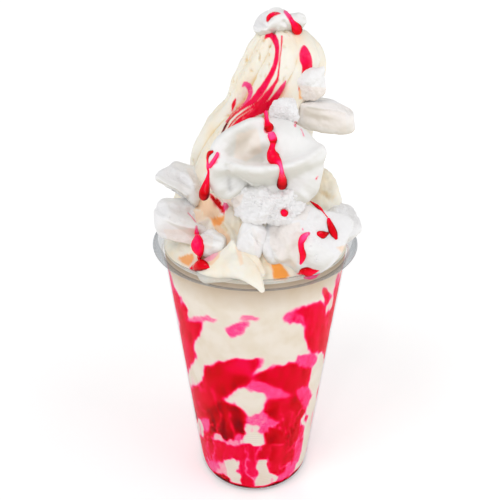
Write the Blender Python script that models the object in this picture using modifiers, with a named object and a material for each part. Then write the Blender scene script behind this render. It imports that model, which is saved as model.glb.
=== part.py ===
# An eton mess sundae in its clear cup: soft serve, broken meringue and berry sauce.
# Lengths are in millimetres and become metres where a mesh is made.
# The origin is the middle of the cup's foot, the front is -Y.

import math

import bmesh
import bpy
import numpy as np
from mathutils import Euler, Vector
from mathutils.bvhtree import BVHTree

MM = 0.001
GAP = 0.3                       # clear space between touching pieces
SEGMENTS = 40                   # round the cup and what fills it

# Cup
CUP_HEIGHT = 140.0
RIM_RADIUS = 49.0
RIM_TALL = 5.2                  # height of the rolled bead
WALL_TOP = 44.9                 # outer radius that the wall reaches at the rim
WALL_FOOT = 30.0                # outer radius that the wall would have at the table
WALL = 0.9
HEEL = 3.6                      # rounding between wall and foot ring
RING_WIDTH = 3.0
PUSH_UP = 3.4                   # how far the floor is raised inside the foot ring
PUSH_UP_SLOPE = 1.6             # how far in the step up to the floor leans
FLOOR_DOME = 0.2                # extra rise in the middle of the floor
BEAD_STEP = 30                  # degrees between the bead's points

# Sauce at the foot of the cup and soft serve above it
POOL_TOP = 10.0
POOL_WAVE = 2.2
POOL_OVERLAP = 0.6              # the sauce is made this much too high, then cut by the soft serve
POOL_RINGS = (1.0, 0.6, 0.0)    # radii of the rings on its top, against its edge
POOL_WAVE_X = (0.21, 0.8)       # turns per millimetre and start of the waves on its top
POOL_WAVE_Y = (0.17, -0.5)
POOL_WAVE_CROSS = (0.31, 1.1)
SHOULDER = [(6.0, 161.0), (14.0, 161.5), (21.0, 162.0), (26.5, 161.5), (30.5, 158.0),
            (33.5, 152.0), (36.5, 146.0), (39.5, 141.5), (42.2, 138.6)]
FILL_EDGE = 136.4               # where the soft serve leaves the wall
FILL_WALL_LEVELS = [104.0, 66.0, 34.0]
HEAP_FLUTES = 9
HEAP_FLUTE_DEPTH = 1.3
HEAP_FLUTE_RADIUS = 34.0        # where the flutes are deepest
HEAP_FLUTE_SPREAD = 5.5         # how far in and out from there they fade
HEAP_FLUTE_LEAN = 0.05          # how they lean with height
HEAP_FLUTE_MEAN = 0.6           # their mean height, which keeps the heap's girth
# Round lobes of the heap: x, y, radius, height of the middle and of the top
LOBES = [(29.0, -4.0, 11.6, 149.0, 174.0), (-19.0, -14.5, 10.5, 150.0, 166.0),
         (-8.0, 29.0, 13.0, 148.0, 165.0), (-30.0, 10.0, 11.0, 146.0, 162.0), (14.0, 30.0, 10.0, 146.0, 159.0)]
LOBE_START = 14.0               # the heap's middle, under the swirl, has no lobes
LOBE_BLEND = 2.0                # how softly the lobes run into the heap
LOBE_FALL = 30.0                # how fast a lobe's side drops beyond its radius
HEAP_LEVEL = 150.0              # a height halfway up the heap

# Swirl: height, half width and sideways place of its middle
SWIRL_LEVELS = [
    (155.0, 20.0, -1.0), (160.0, 24.0, -2.0), (166.0, 26.6, -2.8), (172.0, 27.7, -2.9),
    (180.0, 27.0, -2.0), (188.0, 26.2, 0.2), (195.0, 24.6, 2.4), (200.0, 22.2, 4.9),
    (205.0, 20.4, 7.4), (211.0, 20.0, 9.0), (217.0, 19.2, 10.7), (222.0, 17.6, 11.8),
    (226.5, 15.4, 11.9), (230.5, 12.2, 11.3), (233.2, 8.8, 10.4),
]
SWIRL_TIP = (235.8, 9.0)        # height and sideways place
SWIRL_SEGMENTS = 52
SWIRL_RINGS = 28
SWIRL_DEPTH = 0.9               # front to back against side to side
SWIRL_FLUTES = 8
FLUTE_DEPTH = 0.17
SWIRL_TURN = 84.0               # degrees that the flutes turn from foot to tip
SWIRL_START = 7.0               # degrees from the side to the first groove
SWIRL_EASE = 0.85               # the turn is a little quicker near the foot
FLUTE_ROUNDNESS = 0.8
FLUTE_SWELL = (0.25, 0.16)      # how much the flutes' depth changes, and how fast with height
# Waves that make the flutes uneven round the swirl: number, size, start
FLUTE_WAVES = [(2, 0.12, 0.7), (3, 0.07, -1.0)]

EDGE_SHARPNESS = 11.0           # how crisp a broken edge is against the piece's size
BREAK_SPREAD = (0.9, 1.05)      # how unevenly deep the broken faces of one piece cut
GRIT_WAVES = 5                  # waves of each size in the uneven surface
GRIT_COARSEST = 3.5             # waves across a piece in the first of three sizes
GRIT_FINER = 1.9                # how much finer each next size is
GRIT_FADE = 0.62                # how much lower each next size is

# Broken meringue. Each piece: middle, half sizes, squareness, turn in degrees, number of
# broken faces, how deep they cut, grit, triangles, and ridges (path, height, spread), whose
# paths are directions from the middle. A ridge with a negative height is a hollow. Flats are
# broken faces with a place of their own: direction and distance from the middle.
MERINGUES = {
    "meringue_dome": dict(
        middle=(4.5, -28.6, 184.6), half=(22.0, 12.6, 17.5), square=2.2, turn=(0, 0, 0),
        breaks=0, cut=0.0, grit=0.35, triangles=1180, seed=3,
        ridges=[
            ([(-22, -8, 3), (-13, -7, 11), (-3, -5, 18)], 2.4, 0.2),
            ([(-10, -11, 8), (-3, -12, 6)], -5.6, 0.3),
            ([(8, -11, 8), (12, -10, 8)], -1.6, 0.3),
            ([(-17, -9, 1), (-11, -13, 0), (-1, -14, 0), (10, -12, 2), (20, -6, 5)], 2.8, 0.17),
            ([(-10, -10, -9), (10, -10, -9)], -3.2, 0.3),
            ([(22, -4, 7)], 1.4, 0.15),
            ([(22, -5, -1), (20, -6, -8)], 1.6, 0.2),
            ([(14, -8, -17), (17, -5, -13)], 3.4, 0.26),
            ([(-21, -6, -4), (-19, -7, -9), (-17, -7, -14)], 5.0, 0.15),
            ([(-13, -9, -4), (-11, -8, -12)], -3.2, 0.13),
            ([(-9, -6, -15), (-4, -6, -17)], -5.0, 0.26),
        ]),
    "meringue_chunk_right": dict(
        middle=(18.8, -31.0, 153.4), half=(22.5, 10.4, 16.8), square=3.2, turn=(0, 6, -14),
        breaks=9, cut=0.84, grit=0.9, triangles=800, seed=11,
        ridges=[([(-14, -6, -12), (-8, -8, -14)], -3.0, 0.3), ([(10, -8, -3), (14, -6, 4)], 1.6, 0.3),
                ([(-2, -9, 3), (-3, -9, -3)], -1.4, 0.22)]),
    "meringue_crumbly": dict(
        middle=(6.8, -31.5, 168.4), half=(16.8, 8.8, 8.8), square=2.3, turn=(0, 4, 0),
        breaks=5, cut=0.88, grit=1.3, triangles=620, seed=5,
        ridges=[([(-12, -5, -3), (-6, -7, -6)], 1.8, 0.3), ([(8, -7, -3), (10, -6, 2)], -1.8, 0.3)]),
    "meringue_left_upper": dict(
        middle=(-33.0, -13.0, 169.4), half=(10.4, 8.2, 8.4), square=4.5, turn=(0, 16, -8),
        breaks=2, cut=0.96, grit=0.35, triangles=340, seed=21,
        flats=[((-6, -4, -8), 4.4), ((-7, 1, 6), 9.2), ((2, -5, 8), 7.0), ((8, -3, 3), 8.6)],
        ridges=[([(-9, -2, 5)], 2.0, 0.3), ([(3, -5, 7), (8, -4, 4)], 0.8, 0.25)]),
    "meringue_left_lower": dict(
        middle=(-31.2, -20.0, 155.0), half=(14.2, 8.8, 9.4), square=4.0, turn=(0, 8, 18),
        breaks=2, cut=0.95, grit=0.45, triangles=360, seed=8,
        flats=[((6, -4, 8), 6.6), ((-9, -4, 5), 11.6), ((-3, -9, -5), 8.4)],
        ridges=[([(10, -4, 5)], -1.4, 0.4), ([(-11, -4, 4)], 0.9, 0.4)]),
    "meringue_far_right": dict(
        middle=(37.6, -10.5, 149.4), half=(9.8, 11.0, 10.4), square=2.6, turn=(10, 0, 12),
        breaks=8, cut=0.83, grit=0.8, triangles=340, seed=14, ridges=[([(8, -4, -6)], -2.0, 0.4)]),
    "meringue_front_small": dict(
        middle=(-1.8, -36.4, 153.6), half=(5.2, 4.6, 8.0), square=2.4, turn=(0, 14, 0),
        breaks=4, cut=0.84, grit=0.3, triangles=220, seed=31,
        ridges=[([(-1, -4, 6), (2, -5, 0)], -1.4, 0.16), ([(4, -3, 4)], 1.2, 0.3)]),
    "meringue_front_left": dict(
        middle=(-19.0, -32.6, 149.6), half=(7.6, 5.6, 5.6), square=2.5, turn=(0, 12, -20),
        breaks=4, cut=0.85, grit=0.3, triangles=220, seed=36, ridges=[([(5, -4, 3)], 1.2, 0.4)]),
    "meringue_stick": dict(
        middle=(28.0, -13.2, 200.4), half=(13.0, 5.6, 6.6), square=5.0, turn=(6, 4, -12),
        breaks=2, cut=0.96, grit=0.3, triangles=280, seed=42,
        flats=[((4, -1, 9), 7.0), ((-2, -2, 10), 6.4), ((-6, -4, -7), 8.4)],
        ridges=[([(12, -1, 5)], -1.8, 0.3), ([(-11, -2, -3)], 1.2, 0.3), ([(11, -2, -5)], 1.4, 0.24)]),
    "meringue_crumb_mid": dict(
        middle=(11.6, -22.5, 203.8), half=(5.6, 4.8, 5.0), square=2.5, turn=(0, 0, 0),
        breaks=5, cut=0.84, grit=0.5, triangles=200, seed=51, ridges=[([(-4, -2, 4)], 1.2, 0.4)]),
    "meringue_side_chip": dict(
        middle=(22.4, -14.2, 212.8), half=(5.6, 4.4, 6.2), square=3.0, turn=(0, -12, 14),
        breaks=4, cut=0.86, grit=0.4, triangles=200, seed=62, ridges=[([(4, -1, 6)], 2.2, 0.24)]),
    "meringue_back_left": dict(
        middle=(-25.0, 23.0, 163.5), half=(10.5, 8.0, 8.4), square=2.8, turn=(10, 12, 34),
        breaks=7, cut=0.82, grit=0.6, triangles=260, seed=83, ridges=[([(-7, 5, 3)], 2.0, 0.4)]),
    "meringue_back_right": dict(
        middle=(22.0, 29.0, 158.0), half=(11.5, 8.6, 8.0), square=2.7, turn=(-8, -10, -30),
        breaks=7, cut=0.82, grit=0.7, triangles=260, seed=94, ridges=[([(6, 6, 4)], -1.6, 0.4)]),
    "meringue_back_high": dict(
        middle=(5.0, 24.5, 186.0), half=(9.0, 6.0, 7.4), square=2.6, turn=(0, 20, 8),
        breaks=6, cut=0.84, grit=0.5, triangles=220, seed=105, ridges=[([(5, 4, 5)], 1.8, 0.35)]),
    "meringue_cap": dict(
        middle=(9.3, -2.6, 235.5), half=(10.8, 8.0, 5.0), square=2.5, turn=(0, -5, 0),
        breaks=3, cut=0.88, grit=0.35, triangles=460, seed=71,
        ridges=[([(-3, -1, 5), (0, -1, 5)], 1.0, 0.3), ([(5, -3, 5), (6, 2, 5)], -2.0, 0.26),
                ([(11, -2, 3), (11, 2, 3)], 1.0, 0.3), ([(-2, -8, -5), (6, -8, -5)], -2.2, 0.34)]),
}

# Thick sauce drops: owner, points (x, height, radius) from the top down, seen from the front
DRIPS = [
    ("meringue_dome", [(4.0, 201.0, 1.0), (3.6, 198.5, 1.7), (5.0, 195.8, 1.2), (5.6, 192.0, 1.3),
                       (6.4, 188.6, 2.0), (8.0, 185.6, 1.0), (9.2, 182.4, 0.9), (9.6, 179.0, 1.9),
                       (9.8, 176.8, 1.7)]),
    ("meringue_dome", [(-14.2, 189.8, 1.3), (-15.4, 187.0, 1.5), (-15.8, 184.0, 0.8)]),
    ("meringue_chunk_right", [(22.6, 157.0, 0.9), (20.6, 153.6, 1.3), (19.8, 149.8, 1.4), (18.6, 146.2, 0.9)]),
    ("meringue_chunk_right", [(31.6, 163.0, 1.1), (32.8, 159.6, 1.8), (34.0, 156.4, 2.0), (34.6, 153.8, 1.2)]),
    ("meringue_cap", [(13.4, 238.4, 0.8), (15.2, 236.0, 1.4), (16.4, 234.4, 1.7)]),
]
DRIP_SINK = 0.35                # share of a drop's radius that is pressed into its piece
DRIP_STEPS = 2
DRIP_START = -100.0             # a place in front of every piece, from where drops are laid back
END_STEPS = ((0.5, 0.82), (0.85, 0.45))     # how far beyond a tube's end, and how narrow there

# The pulled peak of cream at the front and its tongue over the rim: x, y, height, radius
TONGUE_STRANDS = [
    [(-20.0, -37.0, 139.0, 5.4), (-14.6, -38.4, 142.0, 6.8), (-11.4, -39.0, 146.0, 5.4),
     (-10.0, -38.6, 150.0, 2.8), (-9.6, -38.0, 153.4, 0.8)],
    [(-13.0, -37.5, 141.0, 6.2), (-9.0, -40.4, 143.8, 6.4), (-4.4, -44.4, 143.8, 5.0), (-0.6, -47.4, 141.8, 3.6),
     (1.8, -49.2, 139.4, 2.2), (3.0, -49.9, 137.2, 1.4)],
    [(-6.0, -37.0, 140.0, 4.0), (-4.6, -38.4, 149.2, 1.4), (-3.0, -39.4, 146.6, 3.2), (-0.4, -41.0, 143.6, 3.5),
     (2.6, -42.4, 141.0, 2.0)],
]
TONGUE_VOXEL = 0.9
TONGUE_TRIANGLES = 620
TONGUE_STEPS = 4
TONGUE_SOFTENING = 3

# Edges sharper than this, in degrees, stay sharp where a piece is shaded smooth
SOFT_EDGE = 60.0
BROKEN_EDGE = 35.0
WELD = 1e-6                     # metres within which two points are one
TURNED_WELD = 1e-5              # the same for the cup's seam and middle

# Colours
CLEAR_PLASTIC = (0.86, 0.88, 0.9)
BERRY = (0.62, 0.0, 0.05)
VANILLA = (0.93, 0.86, 0.68)
VANILLA_PALE = (0.95, 0.92, 0.8)
MERINGUE_WHITE = (0.93, 0.93, 0.92)

parts = bpy.data.collections.new("eton_mess_sundae")
cutters = bpy.data.collections.new("cutters")


def start_clean():
    for old in list(bpy.data.objects):
        bpy.data.objects.remove(old, do_unlink=True)
    for group in (parts, cutters):
        bpy.context.scene.collection.children.link(group)


def material(name, colour, roughness, metallic=0.0):
    made = bpy.data.materials.new(name)
    made.use_nodes = True
    shader = made.node_tree.nodes["Principled BSDF"]
    shader.inputs["Base Color"].default_value = (*colour, 1.0)
    shader.inputs["Roughness"].default_value = roughness
    shader.inputs["Metallic"].default_value = metallic
    return made


# Mesh helpers

def new_object(name, mesh, group=parts):
    made = bpy.data.objects.new(name, mesh)
    group.objects.link(made)
    return made


def mesh_from(bm, name):
    mesh = bpy.data.meshes.new(name)
    bm.to_mesh(mesh)
    bm.free()
    return mesh


def points_of(mesh):
    flat = np.empty(len(mesh.vertices) * 3)
    mesh.vertices.foreach_get("co", flat)
    return flat.reshape(-1, 3)


def set_points(mesh, points):
    mesh.vertices.foreach_set("co", (np.asarray(points) * MM).ravel())
    mesh.update()


def settle(piece):
    """Apply the piece's modifiers to its mesh."""
    bpy.context.view_layer.update()
    evaluated = piece.evaluated_get(bpy.context.evaluated_depsgraph_get())
    mesh = bpy.data.meshes.new_from_object(evaluated)
    piece.modifiers.clear()
    piece.data = mesh


def keep_largest(piece):
    """Drop the loose scraps that a cut leaves beside the piece."""
    bm = bmesh.new()
    bm.from_mesh(piece.data)
    bmesh.ops.remove_doubles(bm, verts=bm.verts, dist=WELD)
    bmesh.ops.dissolve_degenerate(bm, edges=bm.edges, dist=WELD)
    unseen = set(bm.faces)
    islands = []
    while unseen:
        front = [unseen.pop()]
        island = list(front)
        while front:
            face = front.pop()
            for edge in face.edges:
                for other in edge.link_faces:
                    if other in unseen:
                        unseen.remove(other)
                        front.append(other)
                        island.append(other)
        islands.append(island)
    islands.sort(key=lambda faces: sum(face.calc_area() for face in faces))
    for island in islands[:-1]:
        bmesh.ops.delete(bm, geom=island, context="FACES")
    loose = [vert for vert in bm.verts if not vert.link_faces]
    bmesh.ops.delete(bm, geom=loose, context="VERTS")
    bmesh.ops.triangulate(bm, faces=bm.faces)
    bm.to_mesh(piece.data)
    bm.free()


def thin_out(piece, triangles):
    """Bring a dense mesh down to about this many triangles, keeping its edges."""
    count = sum(len(face.vertices) - 2 for face in piece.data.polygons)
    if count <= triangles:
        return
    thin = piece.modifiers.new("fewer faces", "DECIMATE")
    thin.ratio = triangles / count
    settle(piece)


def smooth_shade(piece, angle):
    piece.data.shade_smooth()
    piece.data.set_sharp_from_angle(angle=math.radians(angle))


def near(piece, other, margin=1.0):
    first = points_of(piece.data)
    second = points_of(other.data)
    reach = margin * MM
    lowest = np.maximum(first.min(0), second.min(0) - reach)
    highest = np.minimum(first.max(0), second.max(0) + reach)
    return bool(np.all(lowest < highest))


def cut_clear(piece, others):
    """Cut the piece so that it stays GAP away from each of the others."""
    for other in others:
        if not near(piece, other):
            continue
        cutter = new_object("cutter_" + other.name + "_" + piece.name, other.data.copy(), cutters)
        cutter.hide_render = True
        cutter.display_type = "WIRE"
        swell = cutter.modifiers.new("clear space", "DISPLACE")
        swell.mid_level = 0.0
        swell.strength = GAP * MM
        cut = piece.modifiers.new("cut by " + other.name, "BOOLEAN")
        cut.operation = "DIFFERENCE"
        cut.object = cutter
        settle(piece)
        keep_largest(piece)


# Turned shapes

def wall_outer(height):
    return WALL_FOOT + (WALL_TOP - WALL_FOOT) * height / CUP_HEIGHT


def wall_inner(height):
    return wall_outer(height) - WALL


def cup_profile():
    """The cup's section from the top of the bead down outside, then up inside."""
    bead_middle = CUP_HEIGHT - RIM_TALL / 2
    bead_half = (RIM_RADIUS - wall_inner(bead_middle)) / 2
    bead_centre = RIM_RADIUS - bead_half
    profile = []
    for degrees in range(90, -91, -BEAD_STEP):
        angle = math.radians(degrees)
        radius = bead_centre + bead_half * math.cos(angle)
        height = bead_middle + RIM_TALL / 2 * math.sin(angle)
        profile.append((radius, height))
    under_bead = CUP_HEIGHT - RIM_TALL - WALL / 2
    profile.append((wall_outer(under_bead), under_bead))
    foot_outer = wall_outer(HEEL) - HEEL
    for degrees in range(0, 91, 30):
        angle = math.radians(degrees)
        profile.append((foot_outer + HEEL * math.cos(angle), HEEL - HEEL * math.sin(angle)))
    ring_inner = foot_outer - RING_WIDTH
    profile.append((ring_inner, 0.0))
    profile.append((ring_inner - PUSH_UP_SLOPE, PUSH_UP))
    profile.append((0.0, PUSH_UP + FLOOR_DOME))
    profile.extend(floor_profile(0.0))
    profile.append((wall_inner(bead_middle), bead_middle))
    return profile


def floor_profile(lift):
    """The inside of the cup's foot from the middle outward, lifted off it by a clear space."""
    foot_outer = wall_outer(HEEL) - HEEL
    ring_inner = foot_outer - RING_WIDTH
    return [
        (0.0, PUSH_UP + FLOOR_DOME + WALL + lift),
        (ring_inner - PUSH_UP_SLOPE / 2, PUSH_UP + WALL + lift),
        (ring_inner + PUSH_UP_SLOPE / 2 + lift, WALL + lift),
        (foot_outer, WALL + lift),
        (wall_inner(HEEL) - WALL / 2 - lift, HEEL / 2 + WALL / 2 + lift),
        (wall_inner(2 * HEEL) - lift, 2 * HEEL),
    ]


def make_cup():
    mesh = bpy.data.meshes.new("cup")
    profile = cup_profile()
    verts = [(radius * MM, 0.0, height * MM) for radius, height in profile]
    edges = [(i, i + 1) for i in range(len(verts) - 1)] + [(len(verts) - 1, 0)]
    mesh.from_pydata(verts, edges, [])
    cup = new_object("cup", mesh)
    turned = cup.modifiers.new("turned", "SCREW")
    turned.steps = SEGMENTS
    turned.render_steps = SEGMENTS
    turned.use_merge_vertices = True
    turned.merge_threshold = TURNED_WELD
    settle(cup)
    keep_largest(cup)
    return cup


def turned_blob(name, profile, segments):
    """A closed round mesh with a ring at each profile point, top pole first.

    Returns the object and, for each vertex, its profile number and angle."""
    rings = len(profile) - 1
    bm = bmesh.new()
    bmesh.ops.create_uvsphere(bm, u_segments=segments, v_segments=rings, radius=1.0)
    bmesh.ops.triangulate(bm, faces=bm.faces)
    piece = new_object(name, mesh_from(bm, name))
    unit = points_of(piece.data)
    polar = np.arccos(np.clip(unit[:, 2], -1.0, 1.0))
    ring = np.rint(polar / math.pi * rings).astype(int)
    angle = np.arctan2(unit[:, 1], unit[:, 0])
    return piece, ring, angle


def pool_wave(x, y):
    along_x = np.sin(x * POOL_WAVE_X[0] + POOL_WAVE_X[1])
    along_y = np.cos(y * POOL_WAVE_Y[0] + POOL_WAVE_Y[1])
    return POOL_WAVE * (along_x * along_y + 0.5 * np.sin(y * POOL_WAVE_CROSS[0] + POOL_WAVE_CROSS[1]))


def make_pool():
    edge = wall_inner(POOL_TOP) - GAP
    top = [(edge * share, POOL_TOP + POOL_OVERLAP) for share in POOL_RINGS[::-1]]
    profile = top + floor_profile(GAP)[::-1]
    pool, ring, angle = turned_blob("sauce_pool", profile, SEGMENTS)
    radius = np.array([point[0] for point in profile])[ring]
    height = np.array([point[1] for point in profile])[ring]
    x = radius * np.cos(angle)
    y = radius * np.sin(angle)
    rise = np.where(ring < len(top), pool_wave(x, y), 0.0)
    at_edge = ring == len(top) - 1
    spread = np.where(at_edge, (wall_inner(height + rise) - GAP) / edge, 1.0)
    set_points(pool.data, np.stack([x * spread, y * spread, height + rise], -1))
    return pool


def with_lobes(x, y, height):
    """The heap's height with its round lobes blended in."""
    total = np.exp((height - HEAP_LEVEL) / LOBE_BLEND)
    for lobe_x, lobe_y, radius, middle, top in LOBES:
        away = ((x - lobe_x) ** 2 + (y - lobe_y) ** 2) / radius ** 2
        lobe = middle + (top - middle) * np.sqrt(np.clip(1.0 - away, 0.0, 1.0))
        lobe = lobe - LOBE_FALL * np.clip(away - 1.0, 0.0, 9.0)
        total = total + np.exp((lobe - HEAP_LEVEL) / LOBE_BLEND)
    return HEAP_LEVEL + LOBE_BLEND * np.log(total)


def make_fill():
    walls = [(wall_inner(height) - GAP, height) for height in [FILL_EDGE] + FILL_WALL_LEVELS]
    edge = wall_inner(POOL_TOP) - GAP
    under = [(edge * share, POOL_TOP) for share in POOL_RINGS]
    profile = [(0.0, SHOULDER[0][1])] + SHOULDER + walls + under
    fill, ring, angle = turned_blob("soft_serve_fill", profile, SEGMENTS)
    radius = np.array([point[0] for point in profile])[ring]
    height = np.array([point[1] for point in profile])[ring]
    on_top = ring <= len(SHOULDER)
    below = ring > len(SHOULDER) + len(walls)
    flute = np.abs(np.sin(angle * HEAP_FLUTES / 2 + height * HEAP_FLUTE_LEAN)) - HEAP_FLUTE_MEAN
    shoulder_share = np.exp(-((radius - HEAP_FLUTE_RADIUS) / HEAP_FLUTE_SPREAD) ** 2) * on_top
    radius = radius + HEAP_FLUTE_DEPTH * flute * shoulder_share
    x = radius * np.cos(angle)
    y = radius * np.sin(angle)
    height = np.where(on_top & (radius > LOBE_START), with_lobes(x, y, height), height)
    height = height + np.where(below, pool_wave(x, y), 0.0)
    at_foot = ring == len(SHOULDER) + len(walls) + 1
    spread = np.where(at_foot, (wall_inner(height) - GAP) / edge, 1.0)
    set_points(fill.data, np.stack([x * spread, y * spread, height], -1))
    return fill


def swirl_profile(rings):
    """Height, half width and middle for each ring, evenly spaced along the outline."""
    levels = [(SWIRL_TIP[0], 0.0, SWIRL_TIP[1])] + SWIRL_LEVELS[::-1]
    levels.append((SWIRL_LEVELS[0][0] - 1.0, 0.0, SWIRL_LEVELS[0][2]))
    table = np.array(levels)
    steps = np.hypot(np.diff(table[:, 0]), np.diff(table[:, 1]))
    along = np.concatenate([[0.0], np.cumsum(steps)])
    wanted = np.linspace(0.0, along[-1], rings + 1)
    return np.stack([np.interp(wanted, along, table[:, i]) for i in range(3)], -1)


def flute_shape(angle, height):
    """Rounded flutes with narrow grooves between them, uneven round the swirl."""
    foot = SWIRL_LEVELS[0][0]
    share = np.clip((height - foot) / (SWIRL_TIP[0] - foot), 0.0, 1.0)
    even = angle - math.radians(SWIRL_TURN) * share ** SWIRL_EASE + math.radians(SWIRL_START)
    place = even + sum(size * np.sin(number * even + start) for number, size, start in FLUTE_WAVES)
    return np.abs(np.sin(place * SWIRL_FLUTES / 2)) ** FLUTE_ROUNDNESS


def make_swirl():
    profile = swirl_profile(SWIRL_RINGS)
    swirl, ring, angle = turned_blob("soft_serve_swirl", list(profile), SWIRL_SEGMENTS)
    height, half, middle = profile[ring].T
    depth = FLUTE_DEPTH * (1.0 + FLUTE_SWELL[0] * np.sin(height * FLUTE_SWELL[1]))
    radius = half * (1.0 - depth * (1.0 - flute_shape(angle, height)))
    x = middle + radius * np.cos(angle)
    y = SWIRL_DEPTH * radius * np.sin(angle)
    set_points(swirl.data, np.stack([x, y, height], -1))
    return swirl


# Broken pieces

def rounded_radius(directions, half, square):
    scaled = np.abs(directions / np.array(half)) ** square
    return scaled.sum(-1) ** (-1.0 / square)


def broken_face(radius, directions, normal, distance):
    """Trim the radius to a flat face, with a slightly rounded edge."""
    facing = directions @ normal
    reach = np.where(facing > 0.05, distance / np.maximum(facing, 0.05), 1e3)
    blend = EDGE_SHARPNESS / distance
    return -np.log(np.exp(-blend * radius) + np.exp(-blend * reach)) / blend


def ridge_height(directions, path, tall, spread):
    """A rounded ridge along a path of directions, or a bump where there is only one."""
    ends = [np.array(point, float) / np.linalg.norm(point) for point in path]
    nearest = np.full(len(directions), math.pi)
    for start, end in zip(ends, ends[1:] or ends):
        run = end - start
        share = np.clip((directions - start) @ run / max(float(run @ run), 1e-9), 0.0, 1.0)
        closest = start + share[:, None] * run
        closest /= np.linalg.norm(closest, axis=-1, keepdims=True)
        angle = np.arccos(np.clip((directions * closest).sum(-1), -1.0, 1.0))
        nearest = np.minimum(nearest, angle)
    return tall * np.exp(-(nearest / spread) ** 2)


def grit_height(directions, size, seed):
    """A few seeded waves over the ball of directions, which make an uneven surface."""
    draw = np.random.default_rng(seed)
    total = np.zeros(len(directions))
    for octave in range(3):
        for _ in range(GRIT_WAVES):
            wave = draw.normal(size=3)
            wave *= (GRIT_COARSEST * GRIT_FINER ** octave) / np.linalg.norm(wave)
            total += GRIT_FADE ** octave * np.sin(directions @ wave + draw.uniform(0.0, 2 * math.pi))
    return size * total / 3.0


def lump_points(directions, spec):
    """Where a broken piece's surface lies in each direction from its middle."""
    turn = np.array(Euler([math.radians(value) for value in spec["turn"]]).to_matrix())
    local = directions @ turn
    radius = rounded_radius(local, spec["half"], spec["square"])
    draw = np.random.default_rng(spec["seed"])
    for _ in range(spec["breaks"]):
        normal = draw.normal(size=3)
        normal /= np.linalg.norm(normal)
        flat_at = rounded_radius(normal[None], spec["half"], spec["square"])[0]
        distance = flat_at * spec["cut"] * draw.uniform(*BREAK_SPREAD)
        radius = broken_face(radius, local, normal, distance)
    for facing, distance in spec.get("flats", []):
        radius = broken_face(radius, directions, np.array(facing) / np.linalg.norm(facing), distance)
    for ridge in spec["ridges"]:
        radius = radius + ridge_height(directions, *ridge)
    radius = radius + grit_height(directions, spec["grit"], spec["seed"] + 100)
    return np.array(spec["middle"]) + directions * radius[:, None]


def make_lump(name, spec):
    bm = bmesh.new()
    bmesh.ops.create_icosphere(bm, subdivisions=5, radius=1.0)
    lump = new_object(name, mesh_from(bm, name))
    unit = points_of(lump.data)
    directions = unit / np.linalg.norm(unit, axis=-1, keepdims=True)
    set_points(lump.data, lump_points(directions, spec))
    thin_out(lump, spec["triangles"])
    return lump


def strand(name, points, group, sides=2):
    """A closed tapering tube through points given as x, y, z and radius."""
    curve = bpy.data.curves.new(name, "CURVE")
    curve.dimensions = "3D"
    curve.bevel_depth = MM
    curve.bevel_resolution = sides
    curve.use_fill_caps = True
    line = curve.splines.new("POLY")
    line.points.add(len(points) - 1)
    for knot, (x, y, z, radius) in zip(line.points, points):
        knot.co = (x * MM, y * MM, z * MM, 1.0)
        knot.radius = radius
    shape = new_object(name, curve, group)
    bpy.context.view_layer.update()
    evaluated = shape.evaluated_get(bpy.context.evaluated_depsgraph_get())
    mesh = bpy.data.meshes.new_from_object(evaluated)
    bm = bmesh.new()
    bm.from_mesh(mesh)
    bmesh.ops.remove_doubles(bm, verts=bm.verts, dist=WELD)
    bmesh.ops.recalc_face_normals(bm, faces=bm.faces)
    bm.to_mesh(mesh)
    bm.free()
    bpy.data.objects.remove(shape, do_unlink=True)
    return new_object(name, mesh, group)


def smooth_path(points, steps):
    """More points along a path, on a Catmull-Rom curve through the given ones."""
    table = np.array(points, float)
    padded = np.vstack([2 * table[0] - table[1], table, 2 * table[-1] - table[-2]])
    made = []
    for i in range(1, len(padded) - 2):
        a, b, c, d = padded[i - 1:i + 3]
        for step in range(steps):
            t = step / steps
            made.append(0.5 * (2 * b + (c - a) * t + (2 * a - 5 * b + 4 * c - d) * t ** 2
                               + (3 * b - a - 3 * c + d) * t ** 3))
    made.append(table[-1])
    return [tuple(row) for row in made]


def rounded_ends(points):
    """Short narrow steps at both ends, so that a tube closes like a drop."""
    made = list(points)
    for index, beyond in ((0, 1), (-1, -2)):
        end = np.array(points[index])
        away = end[:3] - np.array(points[beyond])[:3]
        away /= np.linalg.norm(away)
        for share, narrow in END_STEPS:
            spot = end[:3] + away * end[3] * share
            row = (*spot, end[3] * narrow)
            if index == 0:
                made.insert(0, row)
            else:
                made.append(row)
    return made


def union_with(piece, group):
    """Fuse everything in the group to the piece, then remove the group's objects."""
    joined = piece.modifiers.new("fused", "BOOLEAN")
    joined.operation = "UNION"
    joined.operand_type = "COLLECTION"
    joined.collection = group
    settle(piece)
    for used in list(group.objects):
        bpy.data.objects.remove(used, do_unlink=True)
    keep_largest(piece)


def fuse_drips(piece):
    """Lay each of the piece's drops on its front and fuse them to it."""
    paths = [points for owner, points in DRIPS if owner == piece.name]
    if not paths:
        return
    group = bpy.data.collections.new("drips_" + piece.name)
    bpy.context.scene.collection.children.link(group)
    tree = BVHTree.FromPolygons([tuple(p) for p in points_of(piece.data)],
                                [tuple(face.vertices) for face in piece.data.polygons])
    for number, path in enumerate(paths):
        laid = []
        for x, z, radius in smooth_path(path, DRIP_STEPS):
            hit = tree.ray_cast(Vector((x * MM, DRIP_START * MM, z * MM)), Vector((0.0, 1.0, 0.0)))[0]
            if hit is not None:
                laid.append((x, hit.y / MM - radius * DRIP_SINK, z, radius))
        if len(laid) > 2:
            strand(piece.name + "_drip_%d" % number, rounded_ends(laid), group, 1)
    union_with(piece, group)
    bpy.data.collections.remove(group)


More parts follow.
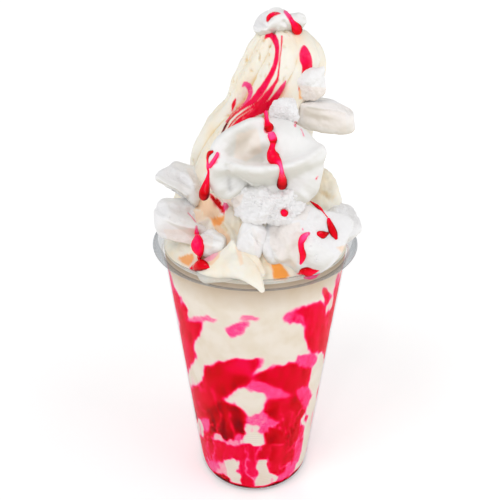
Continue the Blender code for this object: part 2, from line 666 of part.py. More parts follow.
def make_tongue():
    group = bpy.data.collections.new("tongue_strands")
    bpy.context.scene.collection.children.link(group)
    strands = []
    for number, points in enumerate(TONGUE_STRANDS):
        path = rounded_ends(smooth_path(points, TONGUE_STEPS))
        strands.append(strand("tongue_strand_%d" % number, path, group, 3))
    tongue = new_object("soft_serve_tongue", strands[0].data.copy())
    bpy.data.objects.remove(strands[0], do_unlink=True)
    union_with(tongue, group)
    bpy.data.collections.remove(group)
    cast = tongue.modifiers.new("one skin", "REMESH")
    cast.mode = "VOXEL"
    cast.voxel_size = TONGUE_VOXEL * MM
    soft = tongue.modifiers.new("softened", "SMOOTH")
    soft.factor = 0.5
    soft.iterations = TONGUE_SOFTENING
    settle(tongue)
    thin_out(tongue, TONGUE_TRIANGLES)
    return tongue


def build():
    start_clean()
    clear = material("clear plastic", CLEAR_PLASTIC, 0.08)
    berry = material("berry sauce", BERRY, 0.12)
    vanilla = material("vanilla soft serve", VANILLA, 0.4)
    vanilla_pale = material("pulled soft serve", VANILLA_PALE, 0.35)
    meringue = material("meringue", MERINGUE_WHITE, 0.75)

    cup = make_cup()
    pool = make_pool()
    swirl = make_swirl()
    fill = make_fill()
    cut_clear(fill, [swirl])
    cut_clear(pool, [fill])
    finished = [cup, fill, swirl]
    looks = {cup: clear, pool: berry, fill: vanilla, swirl: vanilla}
    for name, spec in MERINGUES.items():
        lump = make_lump(name, spec)
        fuse_drips(lump)
        cut_clear(lump, finished)
        thin_out(lump, spec["triangles"])
        finished.append(lump)
        looks[lump] = meringue
    tongue = make_tongue()
    cut_clear(tongue, finished)
    thin_out(tongue, TONGUE_TRIANGLES)
    looks[tongue] = vanilla_pale
    for piece, look in looks.items():
        piece.data.materials.clear()
        piece.data.materials.append(look)
        smooth_shade(piece, BROKEN_EDGE if look == meringue else SOFT_EDGE)


build()
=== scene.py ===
import itertools
import math

import bmesh
import bpy
import numpy as np
from mathutils import Euler, Matrix, Vector
from mathutils.bvhtree import BVHTree


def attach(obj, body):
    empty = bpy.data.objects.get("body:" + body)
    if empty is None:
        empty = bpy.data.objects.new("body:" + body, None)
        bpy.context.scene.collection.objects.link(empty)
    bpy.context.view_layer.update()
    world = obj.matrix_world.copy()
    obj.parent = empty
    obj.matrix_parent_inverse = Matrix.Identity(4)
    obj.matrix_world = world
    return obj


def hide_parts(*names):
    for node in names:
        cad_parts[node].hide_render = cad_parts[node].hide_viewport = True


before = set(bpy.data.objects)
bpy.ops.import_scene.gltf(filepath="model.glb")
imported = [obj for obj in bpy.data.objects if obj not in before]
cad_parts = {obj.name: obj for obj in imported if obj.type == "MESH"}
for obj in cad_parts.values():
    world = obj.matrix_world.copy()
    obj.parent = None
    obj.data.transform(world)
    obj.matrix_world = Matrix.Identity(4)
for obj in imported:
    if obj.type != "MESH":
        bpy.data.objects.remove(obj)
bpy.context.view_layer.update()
print("frame loaded")

# Shapes are worked out in millimetres. Sauce is placed by where it is seen from the front, in
# picture spots of a 500 by 500 picture, and always lies on the piece that carries it.
mm = 0.001
fullTurn = 2 * math.pi
nearNothing = 1e-9
farAway = 1e9
view = {"place": (0.0, -264.5, 259.9), "pitch": 25.98, "yaw": -0.53, "focal": 602.8, "picture": 500}


def viewAxes():
    pitch = math.radians(view["pitch"])
    yaw = math.radians(view["yaw"])
    forward = np.array([math.sin(yaw) * math.cos(pitch), math.cos(yaw) * math.cos(pitch), -math.sin(pitch)])
    right = np.array([math.cos(yaw), -math.sin(yaw), 0.0])
    return right, np.cross(right, forward), forward


right, up, forward = viewAxes()
eye = np.array(view["place"])
middle = view["picture"] / 2


def pictureSpots(points):
    away = points - eye
    depth = away @ forward
    scale = view["focal"] / depth
    return np.stack([middle + away @ right * scale, middle - away @ up * scale], -1)


def unit(vectors):
    return vectors / np.linalg.norm(vectors, axis=-1, keepdims=True)


def frontFacing(points, normals):
    return (unit(eye - points) * normals).sum(-1)


def lineOfSight(x, y):
    line = forward * view["focal"] + right * (x - middle) + up * (middle - y)
    return line / np.linalg.norm(line)


def paint(red, green, blue):
    # a colour as seen on a screen, 0 to 255, turned into Blender's linear values
    seen = np.array([red, green, blue]) / 255.0
    linear = np.where(seen <= 0.04045, seen / 12.92, ((seen + 0.055) / 1.055) ** 2.4)
    return (*[float(value) for value in linear], 1.0)


# Materials. A wire is a node's socket that sums can be written with, and a finish makes the nodes.

class Wire:
    def __init__(self, finish, socket):
        self.finish = finish
        self.socket = socket

    def work(self, operation, first, second=None, clamp=False):
        sockets = {0: first} if second is None else {0: first, 1: second}
        return self.finish.add("ShaderNodeMath", {"operation": operation, "use_clamp": clamp}, sockets)

    def __add__(self, other):
        return self.work("ADD", self, other)

    def __radd__(self, other):
        return self.work("ADD", other, self)

    def __sub__(self, other):
        return self.work("SUBTRACT", self, other)

    def __rsub__(self, other):
        return self.work("SUBTRACT", other, self)

    def __mul__(self, other):
        return self.work("MULTIPLY", self, other)

    def __rmul__(self, other):
        return self.work("MULTIPLY", other, self)

    def __truediv__(self, other):
        return self.work("DIVIDE", self, other)

    def __pow__(self, other):
        return self.work("POWER", self, other)

    def clamped(self):
        return self.work("ADD", self, 0.0, clamp=True)

    def over(self, low, gain):
        # 0 up to low, then rising to 1
        return ((self - low) * gain).clamped()

    def swing(self, amount):
        # noise made to go as far below 0 as above it
        return (self - 0.5) * amount


class Finish:
    def __init__(self, name):
        self.material = bpy.data.materials.new(name)
        self.material.use_nodes = True
        self.tree = self.material.node_tree
        self.tree.nodes.clear()
        self.end = self.tree.nodes.new("ShaderNodeOutputMaterial")

    def add(self, kind, settings=None, sockets=None, out=0):
        node = self.tree.nodes.new(kind)
        for key, value in (settings or {}).items():
            if key == "stops":
                self.setStops(node.color_ramp, value)
            else:
                setattr(node, key, value)
        for key, value in (sockets or {}).items():
            if isinstance(value, Wire):
                self.tree.links.new(value.socket, node.inputs[key])
            else:
                node.inputs[key].default_value = value
        return Wire(self, node.outputs[out])

    def setStops(self, ramp, stops):
        while len(ramp.elements) < len(stops):
            ramp.elements.new(0.5)
        for element, (place, shade) in zip(ramp.elements, stops):
            element.position = place
            element.color = shade

    def read(self, name):
        return self.add("ShaderNodeAttribute", {"attribute_name": name}, out="Fac")

    def place(self):
        return self.add("ShaderNodeTexCoord", out="Object")

    def noise(self, bump, detail=3.0, rough=0.55):
        # bump is the size of one blotch in millimetres
        sockets = {"Vector": self.place(), "Scale": 1.0 / (bump * mm), "Detail": detail, "Roughness": rough}
        return self.add("ShaderNodeTexNoise", {}, sockets)

    def mix(self, share, first, second):
        return self.add("ShaderNodeMix", {"data_type": "RGBA"}, {0: share, 6: first, 7: second}, out=2)

    def ramp(self, share, stops):
        return self.add("ShaderNodeValToRGB", {"stops": stops}, {0: share})

    def bump(self, height, distance, strength=1.0):
        sockets = {"Height": height, "Distance": distance * mm, "Strength": strength}
        return self.add("ShaderNodeBump", {}, sockets)

    def tone(self, size, amount):
        # the painted tone of the sauce, a little uneven
        return self.read("tone") + self.noise(size).swing(amount)

    def close(self, surface):
        self.tree.links.new(surface.socket, self.end.inputs["Surface"])
        return self.material

    def skin(self, sockets):
        return self.close(self.add("ShaderNodeBsdfPrincipled", {}, sockets))


sauceLook = {
    # from thin and pale to thick and dark
    "stops": [(0.0, paint(255, 226, 228)), (0.16, paint(255, 170, 190)), (0.32, paint(255, 80, 150)),
              (0.5, paint(252, 6, 80)), (0.66, paint(242, 0, 46)), (0.8, paint(214, 0, 12)),
              (1.0, paint(96, 0, 8))],
    "roughness": 0.07, "shine": 0.1, "glow": 0.1, "uneven": 0.16, "ripple": 3.0,
}
creamLook = {
    # the groove colour is painted shade: creases and hollows of the cream drawn darker and warmer
    "light": paint(248, 243, 231), "shade": paint(248, 233, 207), "groove": paint(241, 212, 158),
    # peach and orange are painted warm shade in the deep crevices of the cream
    "peach": paint(252, 216, 184), "orange": paint(255, 166, 76),
    "blotch": 11.0, "grain": 0.9, "ripple": 3.2, "relief": 0.25, "roughness": 0.4, "shine": 0.18,
}
wallLook = {
    "light": paint(240, 230, 216), "shade": paint(230, 216, 194), "blotch": 9.0, "streak": 1.6,
    "ring": paint(176, 160, 158), "ringGap": 1.35, "ringTop": 46.0,
    "underRim": paint(180, 150, 114), "rimFrom": 121.0, "rimFade": 14.0, "roughness": 0.9, "glow": 0.05,
}
meringueLook = {
    "light": paint(245, 244, 243), "cool": paint(238, 238, 236), "crumb": paint(247, 246, 247),
    # under is painted shade: grey-green in hollows and under faces that turn down
    "under": paint(208, 206, 195), "warm": paint(250, 222, 196),
    "blotch": 7.0, "grain": 0.45, "relief": 0.35, "roughness": 0.55, "crumbRoughness": 0.3, "shine": 0.25,
}
# light goes further into the cream, and warmer, than into the meringue
softGlow = {"Subsurface Weight": 0.22, "Subsurface Radius": (1.0, 0.8, 0.6), "Subsurface Scale": 0.0011}
chalkGlow = {"Subsurface Weight": 0.15, "Subsurface Radius": (1.0, 0.98, 0.96), "Subsurface Scale": 0.0009}


def creamFinish(name):
    look = creamLook
    made = Finish(name)
    grain = made.noise(look["grain"], 4.0, 0.6)
    sauce = made.read("sauce")
    bare = 1.0 - sauce
    colour = made.mix(made.noise(look["blotch"], 2.0).over(0.42, 3.0), look["light"], look["shade"])
    # painted shade: creases and hollows darker and warmer
    colour = made.mix(made.read("groove"), colour, look["groove"])
    # painted warm shade: crevices peach, the deepest orange
    warm = made.read("warm") * 2.0
    colour = made.mix(warm.clamped(), colour, look["peach"])
    colour = made.mix((warm - 1.0).clamped(), colour, look["orange"])
    colour = made.mix(sauce, colour, made.ramp(made.tone(2.6, 0.2), sauceLook["stops"]))
    rough = (look["roughness"] + grain.swing(0.2)) * bare + sauceLook["roughness"] * sauce
    relief = made.bump(grain * bare * 0.7 + made.noise(look["ripple"]) * 0.3, look["relief"], 0.5)
    return made.skin({"Base Color": colour, "Roughness": rough, "Normal": relief,
                      "Specular IOR Level": look["shine"], **softGlow})


def wallFinish(name):
    # cream and sauce that lie against the inside of the cup, so they have no shine of their own
    look = wallLook
    made = Finish(name)
    streak = made.noise(look["streak"], 3.0)
    cream = made.mix(made.noise(look["blotch"], 2.0).over(0.4, 2.5), look["light"], look["shade"])
    cream = made.mix(streak.over(0.6, 4.0) * 0.3, cream, creamLook["light"])
    height = made.add("ShaderNodeSeparateXYZ", {}, {0: made.place()}, out="Z") * (1.0 / mm)
    # the fine rings of the cup's foot show as thin darker lines, painted shade on the cream behind them
    ring = height.work("SINE", height * (fullTurn / look["ringGap"])).over(0.55, 2.2)
    ring = ring * ((look["ringTop"] - height) * 0.5).clamped()
    cream = made.mix(ring * 0.3, cream, look["ring"])
    tone = made.tone(2.2, 0.2) + made.noise(0.8, 2.0).swing(0.1) + ring * 0.08
    colour = made.mix(made.read("sauce"), cream, made.ramp(tone, sauceLook["stops"]))
    # the rim shades the wall just below it
    shaded = ((height - look["rimFrom"]) / look["rimFade"]).clamped() * 0.7
    colour = made.mix(shaded, colour, look["underRim"])
    # the cream and sauce against the wall glow a little with their own colour: painted light that brightens
    # them behind the plastic
    return made.skin({"Base Color": colour, "Roughness": look["roughness"], "Specular IOR Level": 0.0,
                      "Emission Color": colour, "Emission Strength": look["glow"],
                      "Normal": made.bump(streak, 0.15, 0.5)})


def meringueFinish(name):
    look = meringueLook
    made = Finish(name)
    broken = made.read("broken")
    sauce = made.read("sauce")
    bare = 1.0 - sauce
    colour = made.mix(made.noise(look["blotch"], 2.0).over(0.4, 2.6), look["light"], look["cool"])
    colour = made.mix(broken, colour, look["crumb"])
    # painted shade: grey-green in hollows and under faces that turn down
    colour = made.mix(made.read("groove"), colour, look["under"])
    # painted warm shade in hollows and shaded faces, and the meringue's own warm tint
    colour = made.mix(made.read("warm"), colour, look["warm"])
    colour = made.mix(sauce, colour, made.ramp(made.tone(2.2, 0.2), sauceLook["stops"]))
    rough = (look["roughness"] + broken * look["crumbRoughness"]) * bare + sauceLook["roughness"] * sauce
    grain = made.noise(look["grain"], 3.0, 0.65) * (0.25 + broken * 0.75) * bare
    relief = made.bump(grain, look["relief"], 0.7)
    return made.skin({"Base Color": colour, "Roughness": rough, "Normal": relief,
                      "Specular IOR Level": look["shine"], **chalkGlow})


def sauceFinish(name):
    look = sauceLook
    made = Finish(name)
    relief = made.bump(made.noise(look["ripple"]), 0.12, 0.4)
    colour = made.ramp(made.tone(1.8, look["uneven"]), look["stops"])
    # the sauce glows a little with its own colour: painted light
    return made.skin({"Base Color": colour, "Roughness": look["roughness"],
                      "Specular IOR Level": look["shine"], "Emission Color": colour,
                      "Emission Strength": look["glow"], "Normal": relief})


def clearFinish(name, paintedGreyShare, power, tint):
    # clear plastic: see-through face on and glossy where the wall is seen on edge; the grey-blue body there,
    # and the share of it all over, are painted shade and reflection
    made = Finish(name)
    edge = made.add("ShaderNodeLayerWeight", {}, {"Blend": 0.35}, out="Facing")
    body = made.add("ShaderNodeBsdfPrincipled", {}, {"Base Color": tint, "Roughness": 0.12})
    clear = made.add("ShaderNodeBsdfTransparent", {}, {"Color": (0.985, 0.988, 0.99, 1.0)})
    wall = made.add("ShaderNodeMixShader", {}, {0: edge ** power * 0.8 + paintedGreyShare, 1: clear, 2: body})
    shine = made.add("ShaderNodeFresnel", {}, {"IOR": 1.42})
    gloss = made.add("ShaderNodeBsdfGlossy", {}, {"Color": (1.0, 1.0, 1.0, 1.0), "Roughness": 0.05})
    return made.close(made.add("ShaderNodeMixShader", {}, {0: shine * 0.14, 1: wall, 2: gloss}))


finishes = {
    "cream": creamFinish("vanilla soft serve"),
    "wall": wallFinish("soft serve and sauce against the cup"),
    "meringue": meringueFinish("meringue"),
    "sauce": sauceFinish("berry sauce"),
    "clear": clearFinish("clear plastic", 0.002, 5.0, paint(120, 136, 148)),
    "rim": clearFinish("rolled clear plastic", 0.15, 1.7, paint(82, 99, 114)),
}
print("finishes made")


# Mesh helpers

def makePiece(name, points, faces, finish, slot, *nodes):
    mesh = bpy.data.meshes.new(name)
    mesh.from_pydata((np.asarray(points) * mm).tolist(), [], faces)
    mesh.materials.append(finish)
    mesh.shade_smooth()
    piece = bpy.data.objects.new(name, mesh)
    bpy.context.scene.collection.objects.link(piece)
    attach(piece, "root")
    if nodes:
        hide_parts(*nodes)
    return piece


def pointsOf(mesh):
    flat = np.empty(len(mesh.vertices) * 3, np.float32)
    mesh.vertices.foreach_get("co", flat)
    return flat.reshape(-1, 3).astype(float) / mm


def normalsOf(mesh):
    flat = np.empty(len(mesh.vertices) * 3, np.float32)
    mesh.vertex_normals.foreach_get("vector", flat)
    return flat.reshape(-1, 3).astype(float)


def setPoints(mesh, points):
    mesh.vertices.foreach_set("co", (points * mm).astype(np.float32).ravel())
    mesh.update()


def setMark(mesh, name, values):
    made = mesh.attributes.new(name, "FLOAT", "POINT")
    made.data.foreach_set("value", np.clip(values, 0.0, 2.0).astype(np.float32))


def readMark(mesh, name):
    values = np.empty(len(mesh.vertices), np.float32)
    mesh.attributes[name].data.foreach_get("value", values)
    return values.astype(float)


def changeMark(mesh, name, values):
    mesh.attributes[name].data.foreach_set("value", values.astype(np.float32))


def step(low, high, value):
    share = np.clip((value - low) / (high - low), 0.0, 1.0)
    return share * share * (3.0 - 2.0 * share)


def blend(first, last, share):
    return first + (last - first) * share


def turnSteps(count):
    return np.linspace(0.0, fullTurn, count, endpoint=False)


def smoothPath(rows, steps):
    table = np.array(rows, float)
    padded = np.vstack([2 * table[0] - table[1], table, 2 * table[-1] - table[-2]])
    made = []
    for i in range(1, len(padded) - 2):
        a, b, c, d = padded[i - 1:i + 3]
        for t in np.arange(steps) / steps:
            made.append(0.5 * (2 * b + (c - a) * t + (2 * a - 5 * b + 4 * c - d) * t ** 2
                               + (3 * b - a - 3 * c + d) * t ** 3))
    made.append(table[-1])
    return np.array(made)


# Uneven surfaces

# large odd numbers scatter the cells of the noise over a table of slopes
scatter = (73856093, 19349663, 83492791, 1274126177)
slopeTable = np.random.default_rng(7).normal(size=(256, 3))
slopeTable /= np.linalg.norm(slopeTable, axis=-1, keepdims=True)


def softNoise(points, size, seed):
    # smooth bumps of about this size in millimetres, between -1 and 1
    place = points / size + np.random.default_rng(seed).uniform(0.0, 90.0, 3)
    cell = np.floor(place).astype(np.int64)
    part = place - cell
    fade = part ** 3 * (part * (part * 6.0 - 15.0) + 10.0)
    total = np.zeros(len(points))
    for corner in itertools.product((0, 1), repeat=3):
        spot = cell + corner
        mixed = spot[:, 0] * scatter[0] ^ spot[:, 1] * scatter[1] ^ spot[:, 2] * scatter[2]
        mixed = (mixed ^ (mixed >> 13)) * scatter[3]
        pick = slopeTable[(mixed >> 9) & 255]
        share = np.where(np.array(corner) == 1, fade, 1.0 - fade).prod(-1)
        total += share * ((part - corner) * pick).sum(-1)
    return total * 1.6


def twoNoises(points, size, seed):
    return np.stack([softNoise(points, size, seed), softNoise(points, size, seed + 1)], -1)


def puffs(points, size, seed):
    # rounded heaps with creases between them
    return np.abs(softNoise(points, size, seed)) * 1.4 - 0.3


def grooveOf(mesh, passes):
    # how far each point lies in a hollow, by smoothing the mesh and looking at what moved out
    edges = np.empty(len(mesh.edges) * 2, np.int32)
    mesh.edges.foreach_get("vertices", edges)
    first, second = edges.reshape(-1, 2).T
    start = pointsOf(mesh)
    count = np.bincount(first, minlength=len(start)) + np.bincount(second, minlength=len(start))
    smooth = start.copy()
    for _ in range(passes):
        moved = [np.bincount(first, smooth[second, axis], len(start))
                 + np.bincount(second, smooth[first, axis], len(start)) for axis in range(3)]
        smooth = np.stack(moved, -1) / count[:, None]
    return ((smooth - start) * normalsOf(mesh)).sum(-1)


# Painted sauce

def nearLine(spots, start, end):
    # how far along a line each spot lies, from 0 to 1, and how far off it
    run = end - start
    share = np.clip((spots - start) @ run / max(float(run @ run), nearNothing), 0.0, 1.0)
    return share, np.linalg.norm(spots - start - share[:, None] * run, axis=-1)


def paintStrokes(points, normals, strokes, wobble=0.5, soft=0.9):
    # cover, tone and thickness of the strokes: each is rows of picture x, y, half width and tone
    spots = pictureSpots(points) + wobble * twoNoises(points, 2.2, 301)
    seen = step(0.02, 0.2, frontFacing(points, normals))
    cover, tone, thick = np.zeros((3, len(points)))
    for rows in strokes:
        path = smoothPath(rows, 3)
        low = path[:, :2].min(0) - 10.0
        high = path[:, :2].max(0) + 10.0
        inside = np.nonzero(np.all((spots > low) & (spots < high), axis=1) & (seen > 0))[0]
        if not len(inside):
            continue
        bestCover, bestTone, bestThick = np.zeros((3, len(inside)))
        for start, end in zip(path, path[1:]):
            share, away = nearLine(spots[inside], start[:2], end[:2])
            width = blend(start[2], end[2], share)
            covered = np.clip((width - away) / soft + 0.5, 0.0, 1.0)
            better = covered >= bestCover
            bestCover = np.where(better, covered, bestCover)
            bestTone = np.where(better, blend(start[3], end[3], share), bestTone)
            bulge = np.sqrt(np.clip(1.0 - (away / np.maximum(width, 0.1)) ** 2, 0.0, 1.0)) * width
            bestThick = np.maximum(bestThick, bulge)
        bestCover = bestCover * seen[inside]
        wins = bestCover > 0.02
        spot = inside[wins]
        tone[spot] = blend(tone[spot], bestTone[wins], np.maximum(bestCover[wins], cover[spot] <= 0))
        cover[spot] = np.maximum(cover[spot], bestCover[wins])
        thick[spot] = np.maximum(thick[spot], bestThick[wins] * seen[spot])
    return cover, tone, thick


def sculptStrokes(points, normals, strokes):
    # push a surface out or in along strokes: rows of picture x, y, half width and height in millimetres
    spots = pictureSpots(points)
    seen = step(-0.25, 0.1, frontFacing(points, normals))
    rise = np.zeros(len(points))
    for rows in strokes:
        path = smoothPath(rows, 3)
        nearest = np.full(len(points), farAway)
        height = np.zeros(len(points))
        for start, end in zip(path, path[1:]):
            share, away = nearLine(spots, start[:2], end[:2])
            away = away / blend(start[2], end[2], share)
            closer = away < nearest
            nearest = np.where(closer, away, nearest)
            height = np.where(closer, blend(start[3], end[3], share), height)
        rise += height * np.exp(-nearest ** 2)
    return rise * seen


def paintPatches(points, normals, patches):
    # patches of painted warm shade, and of warm tint, with a strength and an outline in picture spots,
    # softened at the edge
    spots = pictureSpots(points) + 0.9 * twoNoises(points, 3.0, 311)
    seen = step(-0.1, 0.2, frontFacing(points, normals))
    total = np.zeros(len(points))
    for strength, outline in patches:
        corners = np.array(outline, float)
        nearest = np.full(len(points), farAway)
        within = np.zeros(len(points), bool)
        for start, end in zip(corners, np.roll(corners, -1, axis=0)):
            nearest = np.minimum(nearest, nearLine(spots, start, end)[1])
            run = end - start
            crosses = (spots[:, 1] < start[1]) != (spots[:, 1] < end[1])
            border = start[0] + (spots[:, 1] - start[1]) * run[0] / (run[1] or nearNothing)
            within ^= crosses & (spots[:, 0] < border)
        depth = np.where(within, nearest, -nearest)
        total = np.maximum(total, strength * step(-0.8, 1.2, depth))
    return total * seen


# where along y the strokes of the front end and those of the back begin, in millimetres
paintEnds = {"front": (12.0, 6.0), "back": (2.0, 6.0)}


def markSurface(piece, strokes, patches, wobble=0.5, lift=0.0):
    mesh = piece.data
    points = pointsOf(mesh)
    normals = normalsOf(mesh)
    # the strokes of the back are spots of the picture that the camera would see from behind
    behind = np.array([-1.0, -1.0, 1.0])
    cover, tone, thick = paintStrokes(points, normals, strokes, wobble)
    backCover, backTone, backThick = paintStrokes(points * behind, normals * behind, backStrokes, wobble)
    cover = cover * step(*paintEnds["front"], points[:, 1])
    backCover = backCover * step(*paintEnds["back"], points[:, 1])
    back = backCover > cover
    cover = np.where(back, backCover, cover)
    thick = np.where(back, backThick, thick)
    setMark(mesh, "sauce", cover)
    setMark(mesh, "tone", np.where(back, backTone, tone))
    # painted warm shade over the patches, and on some meringue its own warm tint
    setMark(mesh, "warm", paintPatches(points, normals, patches))
    if lift:
        setPoints(mesh, points + normals * (thick * cover * lift)[:, None])


# Sauce on the back, which the photo does not show
backStrokes = [
    [(226, 40, 1, 0.5), (229, 47, 2.6, 0.5), (235, 56, 2.8, 0.52), (242, 68, 2.2, 0.5),
     (246, 82, 2.8, 0.54), (252, 96, 3.6, 0.5), (262, 109, 3, 0.56), (271, 122, 1.8, 0.66),
     (276, 136, 1, 0.8)],
    [(233, 44, 0.6, 0.6), (240, 60, 0.8, 0.6), (248, 76, 1, 0.58), (256, 92, 2.2, 0.54),
     (267, 104, 2.4, 0.6), (277, 116, 1.2, 0.68), (283, 128, 0.7, 0.7)],
    [(214, 72, 1.6, 0.44), (212, 82, 3.6, 0.5), (214, 94, 3.8, 0.6), (217, 103, 1.4, 0.7)],
    [(243, 106, 2, 0.5), (242, 113, 3.2, 0.62), (243, 121, 2.6, 0.72), (244, 128, 3.6, 0.84)],
    [(282, 146, 1.6, 0.5), (285, 156, 2.6, 0.6), (286, 168, 2, 0.66), (284, 178, 3.2, 0.8)],
    [(213, 150, 1.4, 0.44), (210, 160, 2.4, 0.54), (211, 170, 3.2, 0.72)],
    [(196, 196, 1.8, 0.5), (199, 206, 3, 0.6), (198, 217, 3.8, 0.72), (199, 226, 1.8, 0.8)],
    [(236, 204, 1.6, 0.4), (238, 216, 2.6, 0.6), (237, 227, 3.6, 0.76), (238, 235, 2, 0.84)],
    [(300, 204, 1.8, 0.5), (304, 214, 2.4, 0.6), (303, 226, 3.4, 0.76)],
]


# Warm shade painted in the crevices of the cream: strength, which is peach up to 0.5 and orange above it, and
# outline
warmShadePatches = [
    (0.5, [(179, 208), (189, 203), (198, 198), (209, 198), (213, 200), (221, 213), (214, 221), (206, 217),
     (200, 210)]),
    (0.34, [(184, 209), (200, 210), (208, 218), (198, 223), (191, 222), (186, 214)]),
    (0.92, [(209, 218), (225, 215), (224, 221), (220, 227), (213, 226)]),
    (0.5, [(213, 225), (221, 226), (230, 236), (232, 247), (223, 251), (218, 240)]),
    (0.86, [(227, 181), (242, 183), (242, 187), (231, 189)]),
    (0.8, [(230, 190), (248, 190), (248, 195), (241, 198), (231, 195)]),
    (0.86, [(177, 257), (193, 253), (195, 259), (189, 267), (182, 264)]),
    (0.5, [(203, 250), (221, 250), (217, 260), (210, 267), (205, 262), (198, 260)]),
    (0.44, [(257, 249), (273, 254), (281, 265), (271, 270), (265, 260)]),
    (1, [(271, 262), (281, 263), (290, 275), (286, 280), (273, 280)]),
    (0.84, [(298, 86), (300, 85), (301, 95), (304, 99), (299, 99)]),
    (0.34, [(240, 222), (250, 232), (256, 246), (262, 256), (246, 250), (238, 236)]),
]
# Warm colour on the broken pieces: painted warm shade in hollows and on faces turned from the light, and on
# some pieces the meringue's own warm tint
pieceWarmth = {
    "dome": [(0.3, [(236, 134), (258, 128), (262, 152), (246, 162), (234, 158)])],
    "leftLower": [(0.24, [(164, 229), (200, 229), (204, 240), (196, 251), (168, 244)])],
    "leftUpper": [(0.2, [(186, 168), (192, 168), (204, 192), (198, 196)])],
    "chunkRight": [(0.2, [(270, 226), (300, 222), (304, 246), (296, 268), (280, 262), (270, 246)]),
        (0.16, [(282, 206), (312, 206), (306, 220), (284, 220)]), (0.9, [(337, 248), (347, 244), (349, 252),
        (343, 255)])],
    "stick": [(0.16, [(290, 100), (352, 104), (356, 136), (330, 140), (296, 126)]), (0.24, [(300, 106),
        (346, 112), (348, 134), (304, 124)])],
    "sideChip": [(0.26, [(290, 84), (330, 88), (324, 108), (290, 108)])],
    "crumbly": [(0.3, [(232, 196), (244, 194), (240, 206), (232, 210)])],
    "frontSmall": [(0.1, [(252, 226), (262, 236), (260, 250), (254, 252)])],
    "frontLeft": [(0.2, [(204, 234), (214, 236), (212, 248), (204, 250)])],
}


# The swirl

swirlShape = {
    "levels": [(155.0, 20.0, -1.0), (160.0, 24.0, -2.0), (166.0, 26.6, -2.8), (172.0, 27.7, -2.9),
               (180.0, 27.0, -2.0), (188.0, 26.2, 0.2), (195.0, 24.6, 2.4), (200.0, 22.2, 4.9),
               (205.0, 20.4, 7.4), (211.0, 20.0, 9.0), (217.0, 19.2, 10.7), (222.0, 17.6, 11.8),
               (226.5, 15.4, 11.9), (230.5, 12.2, 11.3), (233.2, 8.8, 10.4)],
    "tip": (235.8, 9.0), "around": 384, "rings": 230, "depth": 0.9, "flutes": 8, "fluteDepth": 0.17,
    "turn": 84.0, "start": 7.0, "streak": 0.28, "pit": 0.8, "sway": 0.35, "wobble": 0.35, "lift": 0.05,
}

# Rows of a stroke: picture x, y, half width, tone from 0 pale to 1 dark
ripples = [
    # the broad ribbon that comes from under the cap and runs down to the left
    [(265.3, 38.4, 0.8, 0.6), (268, 35.2, 2.6, 0.62), (271.5, 35, 3.3, 0.55), (274.8, 39.5, 3.2, 0.5),
     (276.8, 46, 2.5, 0.5), (277, 54, 2.1, 0.52), (275.6, 62.5, 2.4, 0.5), (271.6, 73.5, 2.7, 0.52),
     (266.4, 82.5, 3.1, 0.52), (260.2, 92.3, 3.7, 0.5), (253.8, 100.2, 3.3, 0.52), (245.2, 106.4, 2, 0.56),
     (236.4, 112.6, 1.3, 0.66), (229.8, 119, 1.1, 0.86), (225.8, 125.5, 1.2, 0.98),
     (222.5, 132.5, 1.2, 0.98), (219.5, 140, 1.2, 0.9)],
    # the thread beside it, which widens into a second ribbon
    [(281.9, 36.3, 0.9, 0.5), (281.3, 47.5, 0.7, 0.56), (280, 57.5, 0.6, 0.6), (278.8, 70, 0.8, 0.6),
     (276.9, 80, 1.2, 0.58), (272.5, 87.3, 2.2, 0.52), (267.5, 94.8, 3.4, 0.54), (262.2, 100.8, 3.2, 0.58),
     (255, 106, 2.4, 0.62), (245, 111.6, 1.2, 0.66), (237.4, 117, 0.9, 0.66), (231.4, 123.6, 0.8, 0.7),
     (226.8, 131, 0.8, 0.72), (222.8, 138.6, 0.8, 0.7)],
    # the petal over the crumb
    [(285.6, 81, 0.6, 0.4), (283.2, 85.6, 1.9, 0.42), (280, 91, 2.8, 0.46), (276, 96.5, 3.2, 0.52),
     (272.4, 101, 3.4, 0.62)],
    # the wide dark band along the top of the dome
    [(272, 103, 4.6, 0.6), (262.5, 108.6, 4.4, 0.62), (252.6, 113.6, 4, 0.64), (243.4, 119.6, 4.2, 0.66),
     (235.6, 126.6, 3.6, 0.66), (229.6, 133, 2.6, 0.68), (224.6, 140, 1.6, 0.7)],
    # the pale crescent on the left flute
    [(242.8, 86.4, 0.8, 0.3), (245.4, 83.8, 2.6, 0.3), (249, 86.4, 2.9, 0.34), (250.4, 93, 2.4, 0.36),
     (247.8, 99.8, 1.8, 0.36), (243.6, 104.4, 1.1, 0.4), (236, 110.4, 0.7, 0.46), (230.6, 115.6, 0.6, 0.5),
     (226, 122, 0.6, 0.52)],
    [(235.4, 99, 0.7, 0.6), (233.6, 104, 1.9, 0.68), (231.9, 111.2, 0.5, 0.6)],
    # the petal on the right flute
    [(303.8, 46.6, 1.6, 0.5), (304.2, 51.5, 4.6, 0.5), (305.4, 58, 6.1, 0.48), (307, 65, 5.4, 0.52),
     (306.2, 71, 4.6, 0.66), (304, 76, 2.6, 0.74), (302.6, 80, 0.9, 0.76)],
    [(302, 80, 0.6, 0.7), (299.6, 84.4, 0.6, 0.72), (298.6, 90, 0.4, 0.7)],
]


def ringFaces(rings, segments):
    # quads between rings of points and fans at the two poles, whose points come last
    top = rings * segments
    faces = []
    for k in range(segments):
        after = (k + 1) % segments
        faces.append((top, k, after))
        faces.append((top + 1, (rings - 1) * segments + after, (rings - 1) * segments + k))
    for ring in range(rings - 1):
        base = ring * segments
        for k in range(segments):
            after = (k + 1) % segments
            faces.append((base + k, base + segments + k, base + segments + after, base + after))
    return faces


